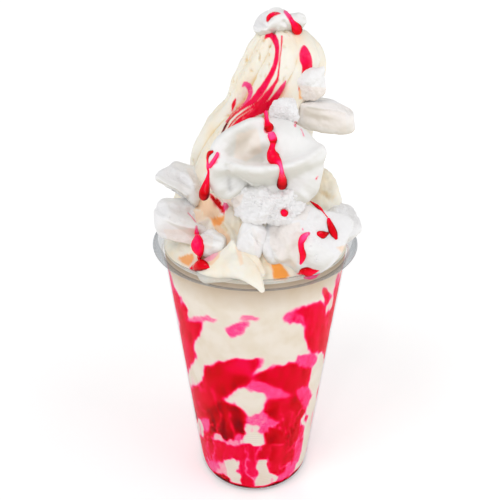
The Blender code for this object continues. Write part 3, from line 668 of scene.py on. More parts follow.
def evenProfile(table, rings):
    # rings evenly spaced along an outline whose first two columns are its place
    table = np.array(table, float)
    along = np.concatenate([[0.0], np.cumsum(np.hypot(np.diff(table[:, 0]), np.diff(table[:, 1])))])
    wanted = np.linspace(0.0, along[-1], rings + 2)
    return np.stack([np.interp(wanted, along, table[:, i]) for i in range(table.shape[1])], -1)


def fluteShape(angle, height):
    foot = swirlShape["levels"][0][0]
    share = np.clip((height - foot) / (swirlShape["tip"][0] - foot), 0.0, 1.0)
    place = angle - math.radians(swirlShape["turn"]) * share ** 0.85 + math.radians(swirlShape["start"])
    # the flutes are not all as wide
    place = place + 0.12 * np.sin(2 * place + 0.7) + 0.07 * np.sin(3 * place - 1.0)
    return np.abs(np.sin(place * swirlShape["flutes"] / 2)) ** 0.8, place


def makeSwirl():
    shape = swirlShape
    levels = [(shape["tip"][0], 0.0, shape["tip"][1])] + shape["levels"][::-1]
    levels = smoothPath(levels, 4)
    levels[:, 1] = np.maximum(levels[:, 1], 0.0)
    low = shape["levels"][0]
    table = np.vstack([levels, (low[0] - 1.0, 0.0, low[2])])
    profile = evenProfile(table, shape["rings"])
    rings = profile[1:-1]
    angle = np.tile(turnSteps(shape["around"]), len(rings))
    height, half, centre = np.repeat(rings, shape["around"], axis=0).T
    flute, place = fluteShape(angle, height)
    depth = shape["fluteDepth"] * (1.0 + 0.25 * np.sin(height * 0.16))
    radius = half * (1.0 - depth * (1.0 - flute))
    along = np.stack([np.cos(place) * 22.0, np.sin(place) * 22.0, height * 0.12], -1)
    radius = radius + shape["streak"] * flute * softNoise(along, 2.6, 41)
    points = np.stack([centre + radius * np.cos(angle), shape["depth"] * radius * np.sin(angle), height], -1)
    poles = [(profile[0][2], 0.0, profile[0][0]), (profile[-1][2], 0.0, profile[-1][0])]
    points = np.vstack([points, poles])
    piece = makePiece("swirl", points, ringFaces(len(rings), shape["around"]), finishes["cream"],
                      "soft_serve", "soft_serve_swirl")
    mesh = piece.data
    normals = normalsOf(mesh)
    rough = softNoise(points, 16.0, 42) + 0.35 * np.sin(points[:, 0] * 0.1 + 2.0)
    pits = step(0.34, 0.7, softNoise(points, 1.9, 43)) * step(-0.05, 0.35, rough)
    rise = softNoise(points, 5.0, 44) * shape["sway"] - pits * shape["pit"]
    rise = rise + softNoise(points, 1.1, 45) * 0.07
    setPoints(mesh, points + normals * rise[:, None])
    # painted shade in the narrow creases and the broad hollows between the flutes, and a little in the pits
    groove = step(0.05, 0.7, grooveOf(mesh, 40)) * 0.45 + step(0.0, 2.4, grooveOf(mesh, 240)) * 0.55
    markSurface(piece, ripples, warmShadePatches, shape["wobble"], shape["lift"])
    setMark(mesh, "groove", groove * 1.25 + pits * 0.2)
    return piece


swirl = makeSwirl()
print("swirl made")


# What fills the cup, and the heap over the rim

cupShape = {"height": 140.0, "rim": 49.0, "rimTall": 5.2, "wallTop": 44.9, "wallFoot": 30.0, "wall": 0.9,
            "heel": 3.6, "ringWidth": 3.0, "pushUp": 3.4, "pushUpSlope": 1.6, "dome": 0.2, "around": 144,
            "stackAt": 129.4, "stackTall": 0.9, "stackOut": 0.32, "ribTop": 46.0, "ribOut": 0.09,
            "ribTurn": 1.55, "beadTurns": list(range(90, -91, -12)), "heelTurns": list(range(0, 91, 15)),
            "outerRows": 170, "innerRows": 12, "pinhole": 0.05}
fillShape = {
    "shoulder": [(6.0, 161.0), (14.0, 161.5), (21.0, 162.0), (26.5, 161.5), (30.5, 158.0), (33.5, 152.0),
                 (36.5, 146.0), (39.5, 141.5), (42.2, 138.6)],
    "edge": 136.4, "intoWall": 0.25, "levels": (104.0, 66.0, 34.0, 7.2), "around": 400, "rings": 240,
    # lobes of the heap: x, y, radius, height of the middle and of the top
    "lobes": [(29.0, -4.0, 11.6, 149.0, 174.0), (-19.0, -14.5, 10.5, 150.0, 166.0),
              (-8.0, 29.0, 13.0, 148.0, 165.0), (-30.0, 10.0, 11.0, 146.0, 162.0),
              (14.0, 30.0, 10.0, 146.0, 159.0)],
    "melt": 2.0, "level": 150.0, "fall": 30.0, "lobesFrom": 14.0, "flutes": 9, "fluteDepth": 1.3,
    "fluteAt": 34.0, "fluteWide": 5.5, "wobble": 0.6,
}

# Sauce along the inside of the wall: picture x, y, half width, half height, tilt and tone.
# A tone of 0 is plain cream.
wallPatches = [
    (250, 290, 58, 20, 0, 0), (214, 300, 20, 13, 0, 0), (288, 286, 28, 14, 0, 0),
    (190, 288, 11, 12, 0, 0.02), (170, 283, 1.8, 10, -14, 0.42), (176, 304, 3.4, 14, -14, 0.6),
    (183, 313, 4.6, 7, -10, 0.7), (202, 319, 11, 2.6, 0, 0.26), (250, 319, 6, 2.2, 0, 0.26),
    (326, 295, 3.2, 7, -8, 0.6), (313, 312, 15, 7, 0, 0.66), (296, 318, 8, 3.4, 0, 0.44),
    (329.5, 306, 1.8, 8, 14, 0.1), (336, 302, 3.6, 14, 10, 0.66), (341, 284, 1.6, 7, 8, 0.4),
    (316, 280, 13, 9, 0, 0), (190, 331, 9, 8, 0, 0.7), (184, 352, 6, 13, -12, 0.6),
    (214, 340, 13, 11, 0, 0.02), (236, 330, 9, 4, -20, 0.34), (258, 344, 15, 12, 0, 0),
    (240, 366, 17, 5, -24, 0.64), (222, 379, 12, 8, 0, 0.8), (292, 345, 12, 11, 0, 0.03),
    (318, 338, 9, 9, 0, 0.7), (305, 360, 8, 5, 20, 0.4), (318, 374, 6, 12, 8, 0),
    (290, 378, 14, 8, -12, 0.76), (268, 392, 12, 4.4, 10, 0.36), (250, 402, 12, 8, 0, 0.05),
    (204, 398, 9, 11, 0, 0.7), (226, 412, 13, 6, 0, 0.86), (195, 374, 5, 9, 0, 0.05),
    (285, 410, 15, 8, 0, 0.78), (305, 398, 5, 8, 0, 0.4), (313, 408, 4, 12, 8, 0), (262, 418, 8, 5, 0, 0.3),
    (229, 430, 12, 6.4, 8, 0.9), (201, 430, 2.4, 8, -20, 0.08), (197, 441, 2.6, 11, -12, 0.6),
    (207, 445, 4.6, 11, -12, 0.68), (206, 427, 2, 5, -12, 0.3), (219, 438, 4.6, 2.8, 25, 0.14),
    (232, 441, 6, 2.4, 0, 0.2), (238, 436, 4, 3, 0, 0.32), (255, 438, 8.6, 5.4, 0, 0),
    (251, 429, 5.6, 3, 0, 0.1), (267, 426, 9, 2.4, -24, 0.34), (284, 436, 15, 7, 0, 0.78),
    (298.5, 446, 3.4, 11, 8, 0.38), (306.5, 436, 3.8, 14, 10, 0), (301, 462, 3.2, 11, 24, 0),
    (293, 478, 2.8, 6, 42, 0.03), (203, 456, 4.4, 8, -20, 0.6), (213, 466, 5.6, 4.6, 36, 0.3),
    (222, 470, 4.4, 5, 40, 0.16), (222, 451, 11, 6, 0, 0.64), (249, 452, 10, 6, 0, 0.62),
    (276, 452, 13, 6, 0, 0.74), (231, 467, 5.6, 5.6, -20, 0), (236.5, 480, 3.2, 8, -24, 0),
    (248, 469, 6.6, 9, 0, 0.56), (247.5, 484, 6, 7, 0, 0.66), (262, 468, 3.8, 6, 0, 0),
    (265, 482, 8, 7, 0, 0), (276, 467, 5.8, 4, 0, 0.7), (284.5, 474, 7, 3.6, -44, 0.34),
    (277, 485, 3.6, 4, 0, 0.3), (222, 480, 8.6, 3, 36, 0.96), (229, 488, 7, 2.2, 24, 0.92),
    (286, 484, 9, 3.4, -38, 1),
]
# Folds of the heap between the pieces: rows of picture x, y, half width, height in millimetres
fillFolds = [
    [(183, 216, 2.4, 0.8), (190, 221, 2.4, 2.4), (197, 223, 2.4, 2.8), (207, 218, 2.2, 2.4),
     (214, 215, 2, 0.8)],
    [(168, 234, 4, -0.8), (188, 238, 5, -1.8), (204, 234, 5, -1.6)],
    [(196, 204, 3, -0.8), (206, 209, 4, -1.4), (215, 214, 3, -0.8)],
    [(211, 217, 1.6, -1.4), (219, 222, 1.8, -1.8), (226, 230, 1.8, -1.4)],
    [(224, 222, 2, 1.2), (231, 232, 2.4, 1.6), (234, 244, 2.4, 1)],
    [(222, 195, 2, 1.2), (226, 203, 2, 1.4), (224, 212, 2, 0.8)],
    [(316, 190, 3, -0.8), (326, 196, 3, -1.2), (338, 208, 3, -0.8)],
    [(332, 188, 3, 0.8), (342, 202, 3, 0.8)],
]
# Sauce spilt on top of the fill
fillStrokes = [
    [(191, 268.6, 1.2, 0.7), (195, 266.6, 2.6, 0.76), (200.5, 265.6, 3.8, 0.8), (206, 266.2, 2.6, 0.74),
     (209.5, 267, 1, 0.7)],
    [(298.5, 273.6, 1, 0.6), (303, 271.4, 2.4, 0.74), (308, 271.8, 3, 0.72), (313.5, 271.6, 2, 0.66),
     (318, 271.4, 0.8, 0.6)],
    [(229.4, 195, 1.4, 0.24), (228, 200, 3.2, 0.26), (226, 206, 3.2, 0.28), (223.8, 211.5, 1.4, 0.34)],
    [(210, 194.6, 1.2, 0.8), (213.6, 198.6, 2.6, 0.84), (217.4, 203.4, 3.3, 0.84), (220.8, 208.6, 2.6, 0.8),
     (224, 213.6, 1, 0.72)],
]


def wallInner(height):
    widening = cupShape["wallTop"] - cupShape["wallFoot"]
    return cupShape["wallFoot"] + widening * height / cupShape["height"] - cupShape["wall"]


def wallOuter(height):
    return wallInner(height) + cupShape["wall"]


def withLobes(x, y, height):
    # the heap's height with its lobes melted into it
    melt = fillShape["melt"]
    level = fillShape["level"]
    total = np.exp((height - level) / melt)
    for lobeX, lobeY, radius, low, top in fillShape["lobes"]:
        away = ((x - lobeX) ** 2 + (y - lobeY) ** 2) / radius ** 2
        lobe = low + (top - low) * np.sqrt(np.clip(1.0 - away, 0.0, 1.0))
        total = total + np.exp((lobe - fillShape["fall"] * np.clip(away - 1.0, 0.0, 9.0) - level) / melt)
    return level + melt * np.log(total)


# Guessed sauce on the back of the wall: degrees from the front, half sizes, tilt, and the tones drawn from
backWall = {
    "seed": 19, "number": 72, "heights": (4.0, 132.0), "turn": (84.0, 276.0), "wide": (4.0, 11.0),
    "tall": (3.0, 8.0), "tilt": (-35.0, 35.0), "halfway": 70.0, "plainFrom": 122.0,
    "upper": (0.0, 0.02, 0.0, 0.4, 0.6, 0.7), "lower": (0.0, 0.05, 0.4, 0.64, 0.76, 0.96),
}
# how the patches flow into each other: size and strength of the coarse and fine warp, and sharp edges
marbling = {"warp": 7.0, "warpBy": 3.0, "fine": 2.4, "fineBy": 1.6, "sharp": 7.0, "fade": 9.0}


def backWallPatches():
    # degrees from the front, height, half width, half height, tilt and tone
    draw = np.random.default_rng(backWall["seed"])
    low, high = backWall["heights"]
    made = []
    for number in range(backWall["number"]):
        height = low + (high - low) * (number + 0.5) / backWall["number"]
        tones = backWall["upper" if height > backWall["halfway"] else "lower"]
        tone = tones[draw.integers(0, 6)] if height < backWall["plainFrom"] else 0.0
        degrees, wide, tall, tilt = [draw.uniform(*backWall[key]) for key in ("turn", "wide", "tall", "tilt")]
        made.append((degrees, height, wide, tall, tilt, tone))
    return made


def patchShares(across, along, wide, tall, tilt):
    turn = math.radians(tilt)
    first = (across * math.cos(turn) + along * math.sin(turn)) / wide
    second = (along * math.cos(turn) - across * math.sin(turn)) / tall
    return np.exp(-marbling["sharp"] * np.hypot(first, second))


def wallTone(points, normals):
    # the nearest patch gives the tone, over a warped surface so that the edges flow
    squat = points * (1.0, 1.0, 0.6)
    warp = twoNoises(squat, marbling["warp"], 61)
    fine = twoNoises(squat, marbling["fine"], 63)
    spots = pictureSpots(points) + warp * marbling["warpBy"] + fine * marbling["fineBy"]
    # toward the sides the picture's patches give way to those that are guessed for the back
    turned = step(0.34, 0.04, frontFacing(points, normals) + 0.08 * warp[:, 0])
    fromFront = np.exp(-marbling["fade"] * turned)
    fromBack = np.exp(-marbling["fade"] * (1.0 - turned))
    angle = np.arctan2(points[:, 0], -points[:, 1])
    total = np.zeros(len(points))
    weight = np.full(len(points), 1e-12)
    for x, y, wide, tall, tilt, tone in wallPatches:
        share = patchShares(spots[:, 0] - x, spots[:, 1] - y, wide, tall, tilt) * fromFront
        total += share * tone
        weight += share
    for degrees, level, wide, tall, tilt, tone in backWallPatches():
        side = (angle - math.radians(degrees) + math.pi) % fullTurn - math.pi
        side = side * wallInner(points[:, 2]) + warp[:, 0] * marbling["warpBy"] + fine[:, 0]
        rise = points[:, 2] - level + warp[:, 1] * marbling["warpBy"] + fine[:, 1]
        share = patchShares(side, rise, wide, tall, tilt) * fromBack
        total += share * tone
        weight += share
    tone = total / weight
    # thin pale veins through the sauce, and pink smears through the cream low in the cup
    vein = step(0.09, 0.0, np.abs(softNoise(points * (1.0, 1.0, 0.45), 9.0, 65) + 0.25 * fine[:, 0]))
    smear = softNoise(points * (1.0, 1.0, 0.3), 4.0, 66)
    sauced = step(0.3, 0.5, tone)
    low = step(78.0, 50.0, points[:, 2])
    tone = tone + sauced * (0.12 * smear - 0.3 * vein * (0.3 + 0.7 * low))
    tone = tone + (1.0 - sauced) * 0.16 * low * step(0.25, 0.6, smear)
    # thick sauce lies at the foot
    return np.maximum(tone, step(6.4, 3.8, points[:, 2] + 1.4 * warp[:, 0]))


def makeFill():
    shape = fillShape
    into = shape["intoWall"]
    foot = cupShape["wall"] + 0.2
    outline = [(0.0, shape["shoulder"][0][1])] + shape["shoulder"]
    walls = [(wallInner(height) + into, height) for height in (shape["edge"], *shape["levels"])]
    heel = [(wallInner(cupShape["heel"]) - 0.3, 2.6), (wallInner(cupShape["heel"]) - 2.4, foot + 0.2)]
    under = [(22.0, foot), (21.0, cupShape["pushUp"] + foot), (0.0, cupShape["pushUp"] + foot)]
    top = smoothPath(outline + walls[:1], 4)
    table = np.vstack([top, walls[1:], heel, under])
    profile = evenProfile(table, shape["rings"])
    rings = profile[1:-1]
    angle = np.tile(turnSteps(shape["around"]), len(rings))
    radius, height = np.repeat(rings, shape["around"], axis=0).T
    onTop = height > shape["edge"] + 0.05
    flute = np.abs(np.sin(angle * shape["flutes"] / 2 + height * 0.05)) - 0.6
    fluted = np.exp(-((radius - shape["fluteAt"]) / shape["fluteWide"]) ** 2)
    radius = radius + shape["fluteDepth"] * flute * fluted * onTop
    x = radius * np.cos(angle)
    y = radius * np.sin(angle)
    height = np.where(onTop & (radius > shape["lobesFrom"]), withLobes(x, y, height), height)
    points = np.stack([x, y, height], -1)
    points = np.vstack([points, (0.0, 0.0, profile[0][1]), (0.0, 0.0, profile[-1][1])])
    onTop = np.append(onTop, (True, False))
    faces = ringFaces(len(rings), shape["around"])
    piece = makePiece("cupFill", points, faces, finishes["cream"], "soft_serve", "soft_serve_fill",
                      "sauce_pool")
    mesh = piece.data
    mesh.materials.append(finishes["wall"])
    mesh.polygons.foreach_set("material_index", [0 if onTop[face[0]] else 1 for face in faces])
    normals = normalsOf(mesh)
    rise = softNoise(points, 7.0, 51) * 1.1 + puffs(points, 3.2, 52) * 0.7 + softNoise(points, 1.2, 53) * 0.12
    rise = rise + sculptStrokes(points, normals, fillFolds)
    keepIn = step(0.0, 5.0, points[:, 2] - shape["edge"])
    points = points + normals * (rise * onTop * keepIn)[:, None]
    setPoints(mesh, points)
    normals = normalsOf(mesh)
    inCup = step(shape["edge"] + 1.2, shape["edge"] - 1.0, points[:, 2])
    wall = wallTone(points, normals)
    # painted shade in the creases of the heap above the cup
    setMark(mesh, "groove", step(0.1, 0.9, grooveOf(mesh, 40)) * (1.0 - inCup) * 0.6)
    markSurface(piece, fillStrokes, warmShadePatches, shape["wobble"])
    cover = readMark(mesh, "sauce") * (1.0 - inCup)
    changeMark(mesh, "sauce", np.maximum(cover, step(0.06, 0.2, wall) * inCup))
    changeMark(mesh, "tone", np.where(inCup > 0.5, wall, readMark(mesh, "tone")))
    changeMark(mesh, "warm", readMark(mesh, "warm") * (1.0 - inCup))
    return piece


fill = makeFill()
print("fill made")


# Broken meringue: middle, half sizes, squareness, turn in degrees, number of broken faces and how near the
# middle they cut, grit, flats (broken faces with a direction and a distance of their own), ridges (path of
# directions from the middle, height, spread) and the strength of wrinkles, crumbs and pits on broken faces

usualLump = {"turn": (0, 0, 0), "breaks": 2, "detail": 6, "wrinkle": 0.2, "pits": 0.2, "allCrumb": 0.0,
             "flats": []}
crumbHeaps = [(0.8, 4.2), (0.45, 1.5), (0.34, 0.7)]  # share and size of the heaps on broken faces
lumpShape = {"highest": 241.4, "edge": 11.0, "toView": 0.45, "wobble": 0.4, "lift": 0.12}
meringues = {
    "dome": dict(
        node="meringue_dome", middle=(4.5, -28.6, 184.6), half=(22, 12.6, 17.5), square=2.2, breaks=0,
        cut=0, grit=0.35, seed=3, wrinkle=0.3, crumb=0, pits=0,
        ridges=[([(-22, -8, 3), (-13, -7, 11), (-3, -5, 18)], 2.4, 0.2), ([(-10, -11, 8), (-3, -12, 6)],
            -5.6, 0.3), ([(8, -11, 8), (12, -10, 8)], -1.6, 0.3), ([(-17, -9, 1), (-11, -13, 0),
            (-1, -14, 0), (10, -12, 2), (20, -6, 5)], 2.8, 0.17), ([(-10, -10, -9), (10, -10, -9)],
            -3.2, 0.3), ([(22, -4, 7)], 1.4, 0.15), ([(22, -5, -1), (20, -6, -8)], 1.6, 0.2),
            ([(14, -8, -17), (17, -5, -13)], 3.4, 0.26), ([(-21, -6, -4), (-19, -7, -9), (-17, -7, -14)],
            5, 0.15), ([(-13, -9, -4), (-11, -8, -12)], -3.2, 0.13), ([(-9, -6, -15), (-4, -6, -17)],
            -5, 0.26)]),
    "chunkRight": dict(
        node="meringue_chunk_right", middle=(18.8, -31, 153.4), half=(22.5, 10.4, 16.8), square=3.2,
        turn=(0, 6, -14), breaks=9, cut=0.84, grit=0.9, seed=11, wrinkle=0.3, crumb=0.55, allCrumb=0.15,
        ridges=[([(-14, -6, -12), (-8, -8, -14)], -3, 0.3), ([(10, -8, -3), (14, -6, 4)], 1.6, 0.3),
            ([(-2, -9, 3), (-3, -9, -3)], -1.4, 0.22)]),
    "crumbly": dict(
        node="meringue_crumbly", middle=(6.8, -31.5, 168.4), half=(16.8, 8.8, 8.8), square=2.3,
        turn=(0, 4, 0), breaks=5, cut=0.88, grit=1.3, seed=5, wrinkle=0.4, crumb=1.4, pits=0.15,
        allCrumb=1,
        ridges=[([(-12, -5, -3), (-6, -7, -6)], 1.8, 0.3), ([(8, -7, -3), (10, -6, 2)], -1.8, 0.3)]),
    "leftUpper": dict(
        node="meringue_left_upper", middle=(-33, -13, 169.4), half=(10.4, 8.2, 8.4), square=4.5,
        turn=(0, 16, -8), cut=0.96, grit=0.35, seed=21, crumb=0.25,
        flats=[((-6, -4, -8), 4.4), ((-7, 1, 6), 9.2), ((2, -5, 8), 7), ((8, -3, 3), 8.6)],
        ridges=[([(-9, -2, 5)], 2, 0.3), ([(3, -5, 7), (8, -4, 4)], 0.8, 0.25)]),
    "leftLower": dict(
        node="meringue_left_lower", middle=(-31.2, -20, 155), half=(14.2, 8.8, 9.4), square=4,
        turn=(0, 8, 18), cut=0.95, grit=0.45, seed=8, wrinkle=0.25, crumb=0.3, pits=0.15, allCrumb=0.1,
        flats=[((6, -4, 8), 6.6), ((-9, -4, 5), 11.6), ((-3, -9, -5), 8.4)],
        ridges=[([(10, -4, 5)], -1.4, 0.4), ([(-11, -4, 4)], 0.9, 0.4)]),
    "farRight": dict(
        node="meringue_far_right", middle=(37.6, -10.5, 149.4), half=(9.8, 11, 10.4), square=2.6,
        turn=(10, 0, 12), breaks=8, cut=0.83, grit=0.8, seed=14, wrinkle=0.3, crumb=0.7, allCrumb=0.6,
        ridges=[([(8, -4, -6)], -2, 0.4)]),
    "frontSmall": dict(
        node="meringue_front_small", middle=(-1.4, -36.2, 153.8), half=(5.6, 4.6, 7.8), square=6,
        turn=(0, 14, 0), cut=0.95, grit=0.25, seed=31, wrinkle=0.1, crumb=0.12, pits=0,
        flats=[((-3, -9, 3), 3.6), ((7, -7, 0), 4), ((6, -3, 8), 6.6), ((-5, -5, -7), 7.2)],
        ridges=[([(0, -4, 6), (3, -5, 2), (5, -4, -2)], -1, 0.12)]),
    "frontLeft": dict(
        node="meringue_front_left", middle=(-19, -32.6, 149.6), half=(7.6, 5.6, 5.6), square=2.5,
        turn=(0, 12, -20), breaks=4, cut=0.85, grit=0.3, seed=36, detail=5, wrinkle=0.15, crumb=0.12,
        pits=0,
        ridges=[([(5, -4, 3)], 1.2, 0.4)]),
    "stick": dict(
        node="meringue_stick", middle=(28, -13.2, 200.4), half=(13, 5.6, 6.6), square=5, turn=(6, 4, -12),
        cut=0.96, grit=0.3, seed=42, crumb=0.2, pits=0.15,
        flats=[((4, -1, 9), 7), ((-2, -2, 10), 6.4), ((-6, -4, -7), 8.4)],
        ridges=[([(12, -1, 5)], -1.8, 0.3), ([(-11, -2, -3)], 1.2, 0.3), ([(11, -2, -5)], 1.4, 0.24)]),
    "crumbMid": dict(
        node="meringue_crumb_mid", middle=(11.6, -22.5, 203.8), half=(5.6, 4.8, 5), square=2.5, breaks=5,
        cut=0.84, grit=0.5, seed=51, crumb=0.7, pits=0.15, allCrumb=1,
        ridges=[([(-4, -2, 4)], 1.2, 0.4)]),
    "sideChip": dict(
        node="meringue_side_chip", middle=(22.4, -14.2, 212.8), half=(5.6, 4.4, 6.2), square=3,
        turn=(0, -12, 14), breaks=4, cut=0.86, grit=0.4, seed=62, crumb=0.4, pits=0.1, allCrumb=0.5,
        ridges=[([(4, -1, 6)], 2.2, 0.24)]),
    "backLeft": dict(
        node="meringue_back_left", middle=(-25, 23, 163.5), half=(10.5, 8, 8.4), square=2.8,
        turn=(10, 12, 34), breaks=7, cut=0.82, grit=0.6, seed=83, detail=5, wrinkle=0.25, crumb=0.5,
        pits=0.3,
        ridges=[([(-7, 5, 3)], 2, 0.4)]),
    "backRight": dict(
        node="meringue_back_right", middle=(22, 29, 158), half=(11.5, 8.6, 8), square=2.7,
        turn=(-8, -10, -30), breaks=7, cut=0.82, grit=0.7, seed=94, detail=5, wrinkle=0.25, crumb=0.8,
        pits=0.4, allCrumb=0.4,
        ridges=[([(6, 6, 4)], -1.6, 0.4)]),
    "backHigh": dict(
        node="meringue_back_high", middle=(5, 24.5, 186), half=(9, 6, 7.4), square=2.6, turn=(0, 20, 8),
        breaks=6, cut=0.84, grit=0.5, seed=105, detail=5, crumb=0.5, pits=0.3, allCrumb=0.1,
        ridges=[([(5, 4, 5)], 1.8, 0.35)]),
    "cap": dict(
        node="meringue_cap", middle=(9.3, -2.6, 235.5), half=(10.8, 8, 5), square=2.5, turn=(0, -5, 0),
        breaks=3, cut=0.88, grit=0.35, seed=71, crumb=0.35,
        ridges=[([(-3, -1, 5), (0, -1, 5)], 1, 0.3), ([(5, -3, 5), (6, 2, 5)], -2, 0.26), ([(11, -2, 3),
            (11, 2, 3)], 1, 0.3), ([(-2, -8, -5), (6, -8, -5)], -2.2, 0.34)]),
}

# Folds and hollows of the pieces that the photograph's side shows, as rows like the heap's folds
meringueFolds = {
    "dome": [
        [(264, 112, 3.5, 0.8), (252, 120, 3.6, 1.6), (241, 127, 3.6, 2), (229, 133, 3.6, 2),
         (218, 141, 3.6, 2.2), (212, 150, 3.6, 1.8), (209, 160, 3.4, 1)],
        [(262, 128, 6, -0.8), (252, 137, 7, -2.4), (240, 147, 8, -3.4), (229, 155, 6, -2.4)],
        [(272, 146, 9, -0.8), (258, 156, 7, -1.6), (244, 160, 6, -1.6)],
        [(224, 157, 3.2, 1.2), (232, 164, 3.6, 2.2), (245, 168, 3.8, 2.6), (262, 169, 3.8, 2.4),
         (280, 168, 3.8, 2.2), (297, 163, 3.8, 2.2), (310, 156, 3.6, 2), (321, 148, 3.2, 1.6)],
        [(236, 178, 5, -1.6), (250, 183, 6, -2), (270, 183, 6, -2), (292, 179, 6, -1.8),
         (306, 172, 5, -1.2)],
        [(216, 160, 3.4, 0.8), (216, 174, 4.4, 1.4), (221, 188, 4.4, 1)],
        [(227, 166, 2.6, -1.4), (228, 178, 2.8, -1.8), (231, 190, 3, -1.4)],
        [(284, 117, 4, 0.5), (296, 128, 4, 0.9), (306, 140, 4, 0.8)],
        [(247, 172, 1.2, -0.5), (252, 177, 1.3, -0.6), (258, 176, 1.2, -0.4)],
        [(296, 190, 4, 0.6), (304, 196, 4, 1.2), (309, 203, 3, 0.6)],
    ],
    "leftUpper": [
        [(157, 176, 1.8, 0.8), (166, 183, 2.2, 1.5), (176, 188, 2.2, 1.6), (186, 195, 2.2, 1.2)],
        [(163, 186, 3, -1.2), (173, 193, 4, -2.2), (184, 201, 4, -1.6)],
        [(174, 170, 2.4, 0.7), (186, 174, 2.6, 0.9), (196, 186, 2.6, 0.8)],
        [(180, 178, 2.6, -0.8), (190, 186, 2.6, -0.9)],
    ],
    "leftLower": [
        [(152, 208, 2.4, 0.8), (160, 216, 3, 1), (172, 222, 3, 1.2), (184, 226, 3, 1.4),
         (194, 228, 3, 1.2)],
        [(170, 206, 2.6, -1), (180, 210, 3, -1.6), (190, 212, 3.4, -2.2)],
        [(166, 232, 4, -1.2), (182, 236, 5, -2), (196, 238, 5, -2)],
        [(158, 204, 2.6, 0.8), (166, 202, 2.4, 0.6)],
    ],
    "frontSmall": [
        [(243, 234, 1.8, 0.5), (254, 226, 1.8, 0.7), (263, 231, 1.8, 0.6)],
    ],
    "frontLeft": [
        [(203, 231, 1.8, -1.2), (213, 237, 1.8, -1.4), (221, 240, 1.8, -0.8)],
        [(206, 227, 2.2, 0.8), (216, 231, 2.2, 0.9)],
        [(202, 242, 2.4, 0.8), (212, 245, 2.4, 0.7)],
    ],
    "cap": [
        [(255, 27, 1.4, 0.9), (258, 30, 1.3, -0.8), (264, 30, 1.4, 0.7), (271, 31, 1.4, -0.7),
         (278, 29, 1.4, 0.5)],
        [(262, 22, 1.8, -0.7), (266, 26, 1.8, -0.8)],
        [(284, 22, 2.4, -1), (288, 27, 2, -0.8)],
        [(299, 14, 1.6, 0.7), (304, 19, 1.6, -0.8), (306, 23, 1.4, 0.6)],
    ],
    "chunkRight": [
        [(274, 232, 3, -0.8), (282, 244, 4, -1.2), (286, 256, 4, -0.8)],
        [(265, 234, 6, 3.6), (267, 245, 6, 5), (272, 257, 6, 5), (282, 266, 5, 2.6)],
        [(290, 220, 3, 0.8), (300, 216, 3, 0.9), (312, 214, 3, 0.7)],
    ],
    "stick": [
        [(300, 104, 1.6, 0.7), (318, 108, 1.6, 0.8), (338, 110, 1.6, 0.8), (351, 116, 1.4, 0.5)],
        [(306, 116, 4, -0.4), (322, 120, 4, -0.5), (338, 123, 4, -0.4)],
        [(346, 108, 1.6, -0.8), (349, 114, 1.4, -0.8)],
    ],
}

# Thin sauce on the meringue, as strokes like the ripples
meringueStrokes = [
    # on the cap
    [(267.6, 20.8, 1.4, 0.72), (269, 17, 2.3, 0.7), (273, 14.4, 2.3, 0.62), (277, 13.6, 1.6, 0.6),
     (280, 13.6, 0.7, 0.5)],
    [(285.4, 11.8, 1.9, 0.32), (288.6, 16, 2.3, 0.38), (291.8, 21.2, 2.2, 0.56)],
    # down the dome
    [(265.6, 112.6, 2.4, 0.5), (266.2, 118.6, 2.2, 0.5), (267.4, 124.4, 3.2, 0.58),
     (268.2, 128.6, 4.8, 0.7)],
    # left edge of the dome
    [(217.6, 154.6, 1.7, 0.34), (215.6, 159.6, 2, 0.36), (211, 165, 2.4, 0.42)],
    # lower right chunk
    [(308.6, 233.6, 1.8, 0.34), (304.4, 236, 2.6, 0.36)],
    [(302.4, 229, 0.9, 0.2), (302.8, 230, 0.9, 0.2)],
    # lower left
    [(196.4, 226.6, 1, 0.2), (196.6, 232, 2, 0.34)],
    [(188, 213, 0.5, 0.2), (196, 222, 0.7, 0.2)],
    # specks
    [(295, 126, 1, 0.5), (295.6, 123, 1.3, 0.5)],
    [(300.6, 129, 0.4, 0.4), (304.6, 137, 0.5, 0.4)],
    [(316, 179.6, 0.9, 0.76), (317.4, 177.6, 0.7, 0.7)],
]


def roundedRadius(directions, half, square):
    return (np.abs(directions / np.array(half)) ** square).sum(-1) ** (-1.0 / square)


def brokenFace(radius, directions, normal, distance):
    # cut a rounded form off at a plane, with a slightly softened edge
    facing = directions @ normal
    grazing = 0.05
    reach = np.where(facing > grazing, distance / np.maximum(facing, grazing), farAway)
    sharp = lumpShape["edge"] / distance
    return -np.log(np.exp(-sharp * radius) + np.exp(-sharp * reach)) / sharp


def ridgeHeight(directions, path, tall, spread):
    ends = [np.array(point, float) / np.linalg.norm(point) for point in path]
    nearest = np.full(len(directions), math.pi)
    for start, end in zip(ends, ends[1:] or ends):
        run = end - start
        share = np.clip((directions - start) @ run / max(float(run @ run), nearNothing), 0.0, 1.0)
        closest = unit(start + share[:, None] * run)
        nearest = np.minimum(nearest, np.arccos(np.clip((directions * closest).sum(-1), -1.0, 1.0)))
    return tall * np.exp(-(nearest / spread) ** 2)


def gritHeight(directions, size, seed):
    draw = np.random.default_rng(seed)
    total = np.zeros(len(directions))
    for octave in range(3):
        for _ in range(5):
            wave = draw.normal(size=3)
            wave *= (3.5 * 1.9 ** octave) / np.linalg.norm(wave)
            total += 0.62 ** octave * np.sin(directions @ wave + draw.uniform(0.0, fullTurn))
    return size * total / 3.0


